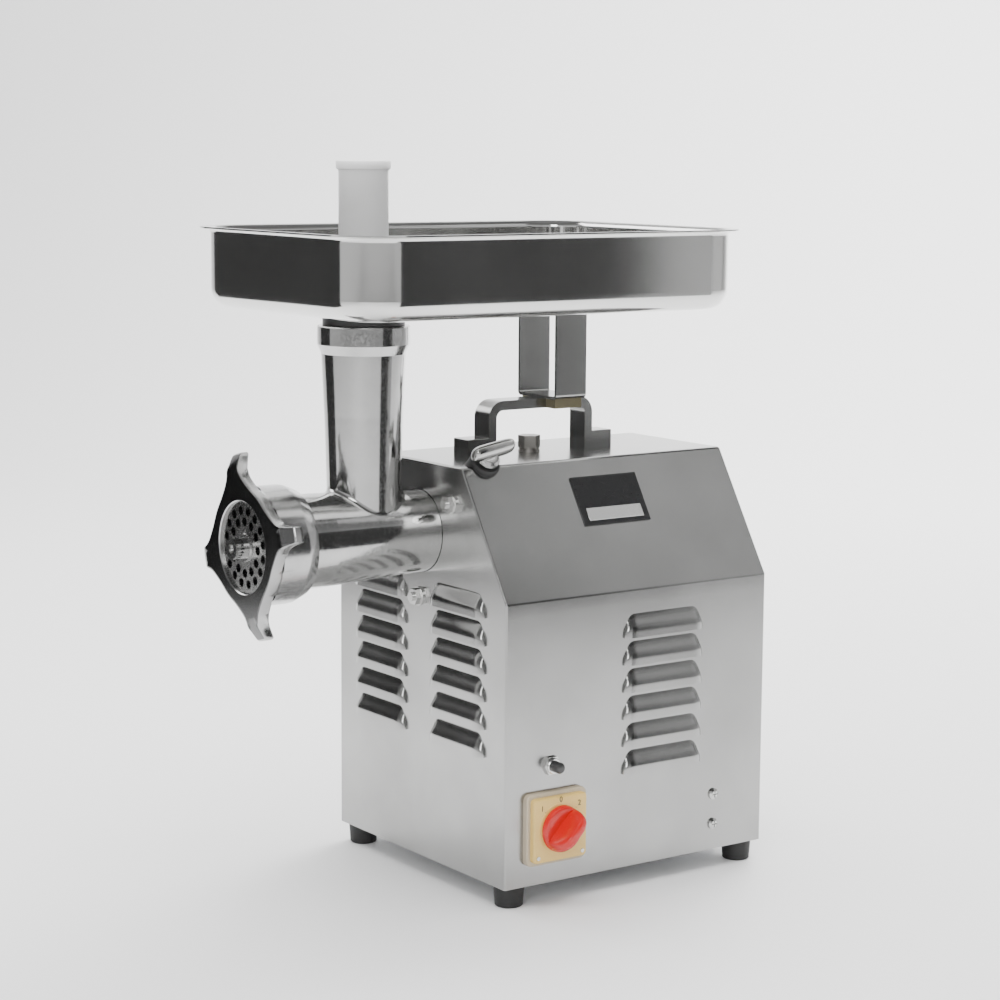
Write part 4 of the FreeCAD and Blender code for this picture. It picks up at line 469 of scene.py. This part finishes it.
def build_casing():
    top_z = KNEE - 0.012
    for tag, place, centre in (("right", right_place, SIDE_CENTRE), ("left", left_place, -SIDE_CENTRE)):
        wall_with_louvres(f"casing_{tag}", place, [centre], SIDE_LIPS, SIDE_LOUVRE,
                          (FRONT + RIM, BACK - RIM, UNDER, top_z), "casing_steel")
        hoods(f"hoods_{tag}", place, [centre], SIDE_LIPS, SIDE_LOUVRE, "casing_steel")
    outline = [(SIDE, top_z)]
    outline += bend((SIDE, UNDER), (SIDE, KNEE), (ROOF_HALF, ROOF), 0.004)
    outline += bend((SIDE, KNEE), (ROOF_HALF, ROOF), (-ROOF_HALF, ROOF), 0.004)
    left = [(-x, z) for x, z in reversed(outline)]
    outline += left
    verts, faces = [], []
    for (x, z), (xi, zi) in zip(outline, inset(outline, SHEET)):
        verts += [(x, FRONT + RIM, z), (x, BACK - RIM, z), (xi, BACK - RIM, zi), (xi, FRONT + RIM, zi)]
    for k in range(0, 4 * (len(outline) - 1), 4):
        for side in range(4):
            n = (side + 1) % 4
            faces.append((k + side, k + n, k + 4 + n, k + 4 + side))
    fold = make("casing_fold", verts, faces, "casing_steel", degrees=20)
    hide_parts("casing_wrap")
    build_rims([(SIDE, UNDER)] + outline + [(-SIDE, UNDER)])


def build_rims(outline):
    """Soft folded edges where the wrap meets the end panels."""
    inner = inset(outline, RIM)
    for tag, face_y, step in (("front", FRONT, RIM), ("rear", BACK, -RIM)):
        verts, faces = [], []
        for (x, z), (xi, zi) in zip(outline, inner):
            for k in range(5):
                turn = math.pi / 2 * k / 4
                c, s = 1 - math.cos(turn), math.sin(turn)
                verts.append((xi + (x - xi) * s, face_y + step * c, zi + (z - zi) * s))
        for i in range(len(outline) - 1):
            for k in range(4):
                a = i * 5 + k
                faces.append((a, a + 1, a + 6, a + 5))
        make(f"casing_rim_{tag}", verts, faces, "casing_steel", degrees=35)


def build_end(name, place, sign, cad_node, hole_radius):
    """Front or rear wall, drawn flush with the folded edge; its softly rounded rim is built separately by
    build_rims.
    """
    edge = RIM
    wall_with_louvres(f"{name}_lower", place, [-0.060, 0.060], END_LIPS, END_LOUVRE,
                      (-SIDE + edge, SIDE - edge, UNDER, KNEE), "casing_steel")
    hoods(f"{name}_hoods", place, [-0.060, 0.060], END_LIPS, END_LOUVRE, "casing_steel")
    half_top = ROOF_HALF - edge * 0.6
    outer = [(SIDE - edge, KNEE), (half_top, ROOF - edge), (-half_top, ROOF - edge),
             (-SIDE + edge, KNEE)]
    work = bmesh.new()
    samples = 96
    if hole_radius:
        hole = [(hole_radius * math.cos(2 * math.pi * k / samples),
                 HEAD_Z + hole_radius * math.sin(2 * math.pi * k / samples)) for k in range(samples)]
        loops = [outer, hole]
    else:
        loops = [outer]
    edges = []
    for loop in loops:
        made = [work.verts.new(place(u, z, 0.0)) for u, z in loop]
        edges += [work.edges.new((made[k], made[(k + 1) % len(made)])) for k in range(len(made))]
    bmesh.ops.triangle_fill(work, use_beauty=True, edges=edges)
    mesh = bpy.data.meshes.new(f"{name}_upper")
    work.to_mesh(mesh)
    work.free()
    upper = bpy.data.objects.new(f"{name}_upper", mesh)
    scene.collection.objects.link(upper)
    for face in mesh.polygons:
        face.use_smooth = False
    normal = mesh.polygons[0].normal
    if normal.y * sign < 0:
        mesh.flip_normals()
    thick = upper.modifiers.new("sheet", "SOLIDIFY")
    thick.thickness = SHEET
    thick.offset = -1
    dress(upper, "casing_steel")
    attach(upper, "root")
    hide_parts(cad_node)


build_casing()
build_end("front", front_place, -1, "front_panel", HEAD_HOLE)
build_end("rear", rear_place, 1, "rear_panel", 0.0)


# ---------------------------------------------------------------- clamping ring

def ring_outline(turn):
    """Radius of the four-lugged ring at an angle, in metres."""
    table = ((0.0, 0.0790), (4.4, 0.0790), (5.2, 0.0745), (6.1, 0.0700), (7.6, 0.0655), (9.3, 0.0618),
             (11.8, 0.0585), (15.0, 0.0560), (19.0, 0.0538), (24.0, 0.0519), (29.0, 0.0506),
             (34.0, 0.0500), (40.0, 0.0498), (45.0, 0.0498))
    away = abs((turn - 15 + 45) % 90 - 45)
    for (a0, r0), (a1, r1) in zip(table[:-1], table[1:]):
        if away <= a1:
            return r0 + (r1 - r0) * (away - a0) / (a1 - a0)
    return table[-1][1]


def build_ring():
    """Ring with four swept-back lugs; angles run from +X towards +Z about the head axis."""
    turns = []
    for quarter in range(4):
        middle = 15 + 90 * quarter
        side = [4.4, 4.8, 5.2, 5.6, 6.1, 6.8, 7.6, 8.4, 9.3, 10.5, 11.8, 13.4, 15, 17, 19, 21.5, 24, 26.5,
                29, 31.5, 34, 37, 40, 42.5]
        turns += [middle - t for t in reversed(side)] + [middle - 2.2, middle, middle + 2.2]
        turns += [middle + t for t in side] + [middle + 45]
    front = -0.1735
    rows = []

    def front_y(radius):
        return front + max(0.0, radius - 0.0655) * 0.55

    def back_y(radius):
        return front + 0.0105 + max(0.0, radius - 0.0655) * 0.34

    for turn in turns:
        reach = min(ring_outline(turn), 0.0778)
        c, s = math.cos(math.radians(turn)), math.sin(math.radians(turn))
        lip = [(0.0383, front + 0.0026), (0.0383, front + 0.0008), (0.0391, front)]
        face = []
        for k in range(1, 9):
            r = 0.0391 + (reach - 0.0014 - 0.0391) * k / 8
            face.append((r, front_y(r)))
        rim = [(reach - 0.0006, front_y(reach) + 0.0002), (reach, front_y(reach) + 0.0012)]
        lug_back = back_y(reach)
        if reach > 0.0505:
            rim += [(reach, lug_back - 0.0012), (reach - 0.0012, lug_back)]
            for k in range(1, 5):
                r = reach - 0.0012 + (0.0512 - reach + 0.0012) * k / 4
                rim.append((r, back_y(r)))
            rim.append((0.0496, back_y(0.05) + 0.0016))
        else:
            rim += [(reach, lug_back - 0.0012), (0.0498, lug_back)]
            rim += [(0.0497, lug_back + 0.0003)] * 4
            rim.append((0.0496, back_y(0.05) + 0.0016))
        back = [(0.0495, -0.1390), (0.0492, -0.1362), (0.0462, -0.1282), (0.0456, -0.1270),
                (0.04506, -0.1272)]
        bore = [(0.04506, -0.1650), (0.0416, -0.1652), (0.0416, front + 0.0027)]
        rows.append([(r * c, FRONT + y, HEAD_Z + r * s) for r, y in lip + face + rim + back + bore])
    verts = [v for row in rows for v in row]
    size = len(rows[0])
    faces = []
    for i in range(len(rows)):
        j = (i + 1) % len(rows)
        for k in range(size):
            n = (k + 1) % size
            faces.append((i * size + k, j * size + k, j * size + n, i * size + n))
    ring = make("clamp_ring_shell", verts, faces, "ring_metal", "clamp_ring", degrees=32)
    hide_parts("ring_nut")
    # Painted reflection: the ring's front face gets a darker steel that stands in for the dark surroundings
    # it reflects. It is not a darker finish of its own.
    dark = brushed("ring_face_painted_reflection", (0.13, 0.13, 0.13), 0.16, (1.0, 1.0, 1.0), 0.05, 0.04, 900.0, 0.02)
    ring.data.materials.append(dark)
    # Forward-facing faces between the bore lip and the lug rim take the painted-reflection material.
    for polygon in ring.data.polygons:
        centre = polygon.center
        radius = math.hypot(centre.x, centre.z - HEAD_Z)
        if polygon.normal.y < -0.7 and 0.0395 < radius < 0.0765:
            polygon.material_index = 1


build_ring()


# ---------------------------------------------------------------- switch, reset button and screws

SWITCH = Vector((SIDE, FRONT + 0.0495, UNDER + 0.0488))


def rounded_square(half, radius, steps=8):
    return arc_points([(half, half), (-half, half), (-half, -half), (half, -half)], radius, steps)


def slab(name, outline, x_low, x_high, slot_name, centre=SWITCH, body="root", round_edge=0.0012):
    """An outline in the (Y, Z) plane given thickness along X, with a softened outer rim."""
    rings = [(0.0, x_low), (0.0, x_high - round_edge)]
    for k in range(1, 5):
        turn = math.pi / 2 * k / 4
        rings.append((round_edge * (1 - math.cos(turn)), x_high - round_edge * (1 - math.sin(turn))))
    reach = max(max(abs(p[0]), abs(p[1])) for p in outline)
    verts, faces = [], []
    count = len(outline)
    for inset, x in rings:
        scale = 1 - inset / reach
        verts += [(centre.x + x, centre.y + y * scale, centre.z + z * scale) for y, z in outline]
    for k in range(len(rings) - 1):
        for i in range(count):
            j = (i + 1) % count
            faces.append((k * count + i, k * count + j, (k + 1) * count + j, (k + 1) * count + i))
    faces.append(tuple(reversed(range(count))))
    faces.append(tuple(range((len(rings) - 1) * count, len(rings) * count)))
    return make(name, verts, faces, slot_name, body, degrees=40)


def bar_mark(name, centre, length, width, turn, slot_name, x, body="root", thick=0.0002):
    """A thin printed bar lying on a face that looks along +X."""
    c, s = math.cos(turn), math.sin(turn)
    points = []
    for a, b in ((-1, -1), (1, -1), (1, 1), (-1, 1)):
        y, z = a * length / 2, b * width / 2
        points.append((y * c - z * s + centre[0], y * s + z * c + centre[1]))
    verts = [(x - 0.0001, y, z) for y, z in points] + [(x + thick, y, z) for y, z in points]
    faces = [(4, 5, 6, 7), (3, 2, 1, 0)]
    faces += [(k, (k + 1) % 4, (k + 1) % 4 + 4, k + 4) for k in range(4)]
    obj = make(name, verts, faces, slot_name, body, degrees=5)
    return obj


def build_switch():
    frame_plate = slab("switch_gasket", rounded_square(0.031, 0.006), 0.0, 0.0055, "frame_plastic")
    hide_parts("switch_frame")
    plate = slab("switch_face", rounded_square(0.0274, 0.0035), 0.0055, 0.0110, "plate_plastic",
                 round_edge=0.0016)
    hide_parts("switch_plate")
    face = SWITCH.x + 0.0110
    lathe("switch_well", [(-0.0002, 0.0), (0.0003, 0.0), (0.0003, 0.0222), (-0.0002, 0.0226)],
                 (face, SWITCH.y, SWITCH.z), (1, 0, 0), "plate_plastic", around=72)
    for degrees in (135, 90, 45):
        t = math.radians(degrees)
        bar_mark(f"dial_tick_{degrees}", (SWITCH.y + 0.0215 * math.cos(t),
                             SWITCH.z + 0.0215 * math.sin(t)), 0.0022, 0.0009, t, "black_plastic", face)
    for degrees, word, gap in ((135, "1", 0.0272), (90, "0", 0.0248), (45, "2", 0.0272)):
        t = math.radians(degrees)
        curve = bpy.data.curves.new(f"dial_number_{word}", "FONT")
        curve.body = word
        curve.size = 0.0066
        curve.extrude = 0.0001
        curve.align_x = "CENTER"
        curve.align_y = "CENTER"
        number = bpy.data.objects.new(f"dial_number_{word}", curve)
        scene.collection.objects.link(number)
        turn = Matrix(((0, 0, 1, 0), (1, 0, 0, 0), (0, 1, 0, 0), (0, 0, 0, 1)))
        number.matrix_world = Matrix.Translation((face + 0.0001, SWITCH.y + gap * math.cos(t),
                                                  SWITCH.z + gap * math.sin(t))) @ turn
        curve.materials.append(MATERIALS["black_plastic"])
        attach(number, "root")
    for side in (-1, 1):
        lathe(f"switch_screw_{side + 1}_0",
              [(0.0, 0.0), (0.0, 0.0019), (0.0005, 0.0017), (0.0007, 0.0)],
              (face, SWITCH.y + side * 0.0228, SWITCH.z - 0.0228), (1, 0, 0), "fastener_steel",
              around=24)

    # Knob: skirt, then a domed grip fin with a small screw in its top.
    skirt = lathe("knob_skirt", [
        (0.0004, 0.0), (0.0004, 0.0194), (0.0012, 0.0200), (0.0040, 0.0196), (0.0054, 0.0186),
        (0.0058, 0.0170), (0.0059, 0.0),
    ], (face, SWITCH.y, SWITCH.z), (1, 0, 0), "red_plastic", "selector", 96)
    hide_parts("switch_knob")
    tilt = math.radians(45)
    sections = [(0.0050, 0.0196, 0.0066), (0.0080, 0.0194, 0.0060), (0.0115, 0.0188, 0.0056),
                (0.0150, 0.0177, 0.0053), (0.0180, 0.0162, 0.0050), (0.0205, 0.0142, 0.0047),
                (0.0224, 0.0118, 0.0043), (0.0236, 0.0092, 0.0037), (0.0242, 0.0062, 0.0028)]
    verts, faces = [], []
    count = 40
    for x, long, wide in sections:
        for k in range(count):
            t = 2 * math.pi * k / count
            y = long * math.copysign(abs(math.cos(t)) ** 0.55, math.cos(t))
            z = wide * math.copysign(abs(math.sin(t)) ** 0.55, math.sin(t))
            verts.append((face + x, SWITCH.y + y * math.cos(tilt) - z * math.sin(tilt),
                          SWITCH.z + y * math.sin(tilt) + z * math.cos(tilt)))
    for s in range(len(sections) - 1):
        for k in range(count):
            n = (k + 1) % count
            faces.append((s * count + k, s * count + n, (s + 1) * count + n, (s + 1) * count + k))
    faces.append(tuple(range((len(sections) - 1) * count, len(sections) * count)))
    make("knob_grip", verts, faces, "red_plastic", "selector", 45)
    lathe("knob_screw", [
        (0.0234, 0.0), (0.0234, 0.0021), (0.0242, 0.0021), (0.0244, 0.0016), (0.0240, 0.0012),
        (0.0240, 0.0),
    ], (face - 0.0002, SWITCH.y, SWITCH.z), (1, 0, 0), "fastener_steel", "selector", 24)


def build_badge():
    """Black plate with a raised rim and a plain silver bar, on the switch-side chamfer."""
    up = Vector((-0.5262, 0.0, 0.8503))
    out = Vector((0.8503, 0.0, 0.5262))
    centre = Vector((ROOF_HALF, 0, ROOF)) - up * 0.0402
    centre.y = FRONT + 0.1398

    def point(u, v, h):
        return centre + Vector((0, 1, 0)) * u + up * v + out * h

    def plate(name, u, v, du, dv, h0, h1, slot_name, radius):
        outline = arc_points([(du, dv), (-du, dv), (-du, -dv), (du, -dv)], radius, 5)
        count = len(outline)
        edge = min(0.0003, (h1 - h0) / 2)
        verts = [point(u + a, v + b, h0) for a, b in outline]
        verts += [point(u + a, v + b, h1 - edge) for a, b in outline]
        verts += [point(u + a * (1 - edge / du), v + b * (1 - edge / dv), h1) for a, b in outline]
        faces = [tuple(reversed(range(count))), tuple(range(2 * count, 3 * count))]
        for layer in (0, 1):
            for i in range(count):
                j = (i + 1) % count
                faces.append((layer * count + i, layer * count + j, (layer + 1) * count + j,
                              (layer + 1) * count + i))
        return make(name, verts, faces, slot_name, degrees=25)

    body = plate("badge_body", 0, 0, 0.0355, 0.0228, 0.0, 0.0010, "badge_plate", 0.0015)
    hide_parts("badge")
    for tag, u, v, du, dv in (("top", 0, 0.0221, 0.0355, 0.0006), ("low", 0, -0.0221, 0.0355, 0.0006),
                              ("front", -0.0348, 0, 0.0006, 0.0226), ("back", 0.0348, 0, 0.0006, 0.0226)):
        plate(f"badge_rim_{tag}", u, v, du, dv, 0.0008, 0.00118, "badge_plate", 0.0004)
    plate("badge_bar", 0.0003, -0.0125, 0.0293, 0.0058, 0.0008, 0.00116, "bright_steel", 0.0003)


def build_reset():
    centre = Vector((SIDE, FRONT + 0.047, UNDER + 0.101))
    cap = lathe("reset_boot", [
        (-0.006, 0.0), (-0.006, 0.0046), (0.0110, 0.0048), (0.0132, 0.0046), (0.0145, 0.0036),
        (0.0150, 0.0018), (0.0150, 0.0),
    ], centre, (1, 0, 0), "boot_plastic", "reset", 48)
    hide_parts("reset_cap")
    lathe("reset_collar", [(0.0025, 0.0049), (0.0025, 0.0068), (0.0050, 0.0068), (0.0056, 0.0062),
                           (0.0056, 0.0049)], centre, (1, 0, 0), "bright_steel", "root", 48)


def build_lock_knob():
    """Cast wing on the locking screw, rounded and slightly skewed, over a turned hub."""
    axis = Vector((2 ** -0.5, 0, 2 ** -0.5))
    along = Vector((0, 1, 0))
    thick = axis.cross(along)
    base = Vector((0, FRONT + 0.024, HEAD_Z))
    verts, faces = [], []
    steps, around = 40, 28
    for i in range(steps + 1):
        t = -1 + 2 * i / steps
        u = 0.0218 * math.sin(t * math.pi / 2)
        size = math.sqrt(max(0.0, 1 - abs(t) ** 3.2))
        tall = 0.0080 * size
        wide = 0.0062 * size
        lift = 0.1066
        for k in range(around):
            a = 2 * math.pi * k / around
            ca, sa = math.cos(a), math.sin(a)
            verts.append(base + along * u + axis * (lift + tall * sa) + thick * (wide * ca + 0.18 * u))
    for i in range(steps):
        for k in range(around):
            n = (k + 1) % around
            faces.append((i * around + k, i * around + n, (i + 1) * around + n, (i + 1) * around + k))
    faces.append(tuple(range(around)))
    faces.append(tuple(reversed(range(steps * around, (steps + 1) * around))))
    wing = make("lock_wing", verts, faces, "knob_bright", "lock", 50)
    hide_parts("lock_knob")
    lathe("lock_hub", [(0.0985, 0.0), (0.0985, 0.0078), (0.1005, 0.0080), (0.1040, 0.0066), (0.1080, 0.0060),
                       (0.1100, 0.0)], base, axis, "knob_bright", "lock", 48)


def build_pusher():
    foot = UNDER + 0.322
    top = UNDER + 0.601
    body = lathe("pusher_body", [
        (foot, 0.0), (foot, 0.0182), (foot + 0.0012, 0.0200), (foot + 0.0032, 0.0207),
        (top - 0.0088, 0.0208), (top - 0.0078, 0.0212), (top - 0.0070, 0.0224), (top - 0.0060, 0.0228),
        (top - 0.0012, 0.0229), (top - 0.0003, 0.0225), (top, 0.0217), (top, 0.0200),
        (top - 0.0012, 0.0192), (top - 0.0014, 0.0),
    ], (0, NECK_Y, 0), (0, 0, 1), "white_plastic", "stomper", 128, 30)
    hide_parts("pusher")


build_switch()
build_badge()
build_reset()
build_lock_knob()
build_pusher()


# ---------------------------------------------------------------- floor, light and camera

def plain(name, colour, rough=0.6):
    g = Graph(name)
    cloud = g.noise(3.0, 2.0)
    g.link(g.blend(cloud, tuple(c * 0.995 for c in colour), colour), g.shader.inputs["Base Color"])
    g.set(Roughness=rough)
    return g.material


def sweep_floor():
    """Pale floor that curves up into a wall far behind the machine."""
    away = Vector((-0.8086, 0.5704)).normalized()
    across = Vector((away.y, -away.x))
    profile = [(-9.0, 0.0), (2.2, 0.0)]
    for step in range(1, 13):
        turn = math.pi / 2 * step / 12
        profile.append((2.2 + 1.2 * math.sin(turn), 1.2 - 1.2 * math.cos(turn)))
    profile.append((3.4, 5.0))
    verts, faces = [], []
    for reach, height in profile:
        for side in (-6.0, 6.0):
            verts.append((away.x * reach + across.x * side, away.y * reach + across.y * side, height))
    for k in range(len(profile) - 1):
        faces.append((2 * k, 2 * k + 1, 2 * k + 3, 2 * k + 2))
    mesh = bpy.data.meshes.new("floor")
    mesh.from_pydata(verts, [], faces)
    for face in mesh.polygons:
        face.use_smooth = True
    floor = bpy.data.objects.new("floor", mesh)
    floor.data.materials.append(plain("floor_white", (0.93, 0.93, 0.93)))
    scene.collection.objects.link(floor)


def card(name, place, target, width, height, colour):
    """A flat stage card that the metal reflects."""
    mesh = bpy.data.meshes.new(name)
    w, h = width / 2, height / 2
    mesh.from_pydata([(-w, -h, 0), (w, -h, 0), (w, h, 0), (-w, h, 0)], [], [(0, 1, 2, 3)])
    obj = bpy.data.objects.new(name, mesh)
    obj.data.materials.append(plain(name, colour, 0.9))
    scene.collection.objects.link(obj)
    aim = Vector(target) - Vector(place)
    obj.matrix_world = Matrix.Translation(place) @ aim.to_track_quat("-Z", "Y").to_matrix().to_4x4()
    obj.visible_camera = False
    obj.visible_diffuse = False
    obj.visible_shadow = False


def soft_light(name, place, target, width, height, power, spread=180):
    data = bpy.data.lights.new(name, "AREA")
    data.shape = "RECTANGLE"
    data.size = width
    data.size_y = height
    data.energy = power
    data.spread = math.radians(spread)
    lamp = bpy.data.objects.new(name, data)
    scene.collection.objects.link(lamp)
    aim = Vector(target) - Vector(place)
    lamp.matrix_world = Matrix.Translation(place) @ aim.to_track_quat("-Z", "Y").to_matrix().to_4x4()
    return lamp


def make_world():
    """Studio surround: bright at the horizon, dim overhead."""
    world = bpy.data.worlds.new("studio")
    world.use_nodes = True
    scene.world = world
    tree = world.node_tree
    tree.nodes.clear()
    output = tree.nodes.new("ShaderNodeOutputWorld")
    back = tree.nodes.new("ShaderNodeBackground")
    coords = tree.nodes.new("ShaderNodeTexCoord")
    split = tree.nodes.new("ShaderNodeSeparateXYZ")
    ramp = tree.nodes.new("ShaderNodeValToRGB")
    tree.links.new(coords.outputs["Generated"], split.inputs[0])
    tree.links.new(split.outputs["Z"], ramp.inputs["Fac"])
    stops = ramp.color_ramp.elements
    stops[0].position, stops[0].color = 0.0, (0.85, 0.85, 0.85, 1)
    stops[1].position, stops[1].color = 1.0, (0.30, 0.30, 0.30, 1)
    for place, grey in ((0.25, 0.80), (0.45, 0.30), (0.75, 0.18)):
        stop = stops.new(place)
        stop.color = (grey, grey, grey, 1)
    tree.links.new(ramp.outputs["Color"], back.inputs["Color"])
    back.inputs["Strength"].default_value = 0.9
    tree.links.new(back.outputs[0], output.inputs["Surface"])


sweep_floor()
make_world()
top = soft_light("top_light", (0.1, -0.1, 2.6), (0, 0, 0.3), 2.8, 2.8, 150)
top.visible_glossy = False
soft_light("camera_light", (2.4, -2.6, 2.0), (0, 0, 0.25), 1.1, 1.5, 40)
soft_light("left_light", (-2.2, -1.0, 1.9), (0, 0, 0.2), 1.0, 1.4, 22)
rear = soft_light("rear_light", (-1.2, 2.4, 2.2), (-1.8, 1.3, 0.0), 2.0, 2.0, 150)
rear.visible_glossy = False
DARK = (0.012, 0.012, 0.012)
GREY = (0.20, 0.20, 0.20)
card("dark_right", (0.95, 0.36, 0.42), (0, 0.36, 0.42), 0.60, 0.74, DARK)
card("grey_right", (0.95, 0.82, 0.42), (0, 0.82, 0.42), 0.32, 0.74, GREY)
card("pale_high", (1.05, 1.55, 1.50), (0.08, 0.10, 0.33), 0.95, 1.10, (0.38, 0.38, 0.38))
card("dark_left", (-0.86, -0.86, 0.42), (0, -0.25, 0.42), 0.80, 0.74, DARK)

camera_data = bpy.data.cameras.new("camera")
camera_data.lens = 88.34
camera_data.sensor_width = 36.0
camera_data.clip_start = 0.05
camera = bpy.data.objects.new("camera", camera_data)
scene.collection.objects.link(camera)
right = Vector((0.5756, 0.8177, 0.0068)).normalized()
ahead = Vector((-0.8086, 0.5704, -0.1438)).normalized()
above = right.cross(ahead).normalized()
right = ahead.cross(above)
turn = Matrix((right, above, -ahead)).transposed().to_4x4()
camera.matrix_world = Matrix.Translation((1.7390, -1.2823, 0.6336)) @ turn
scene.camera = camera
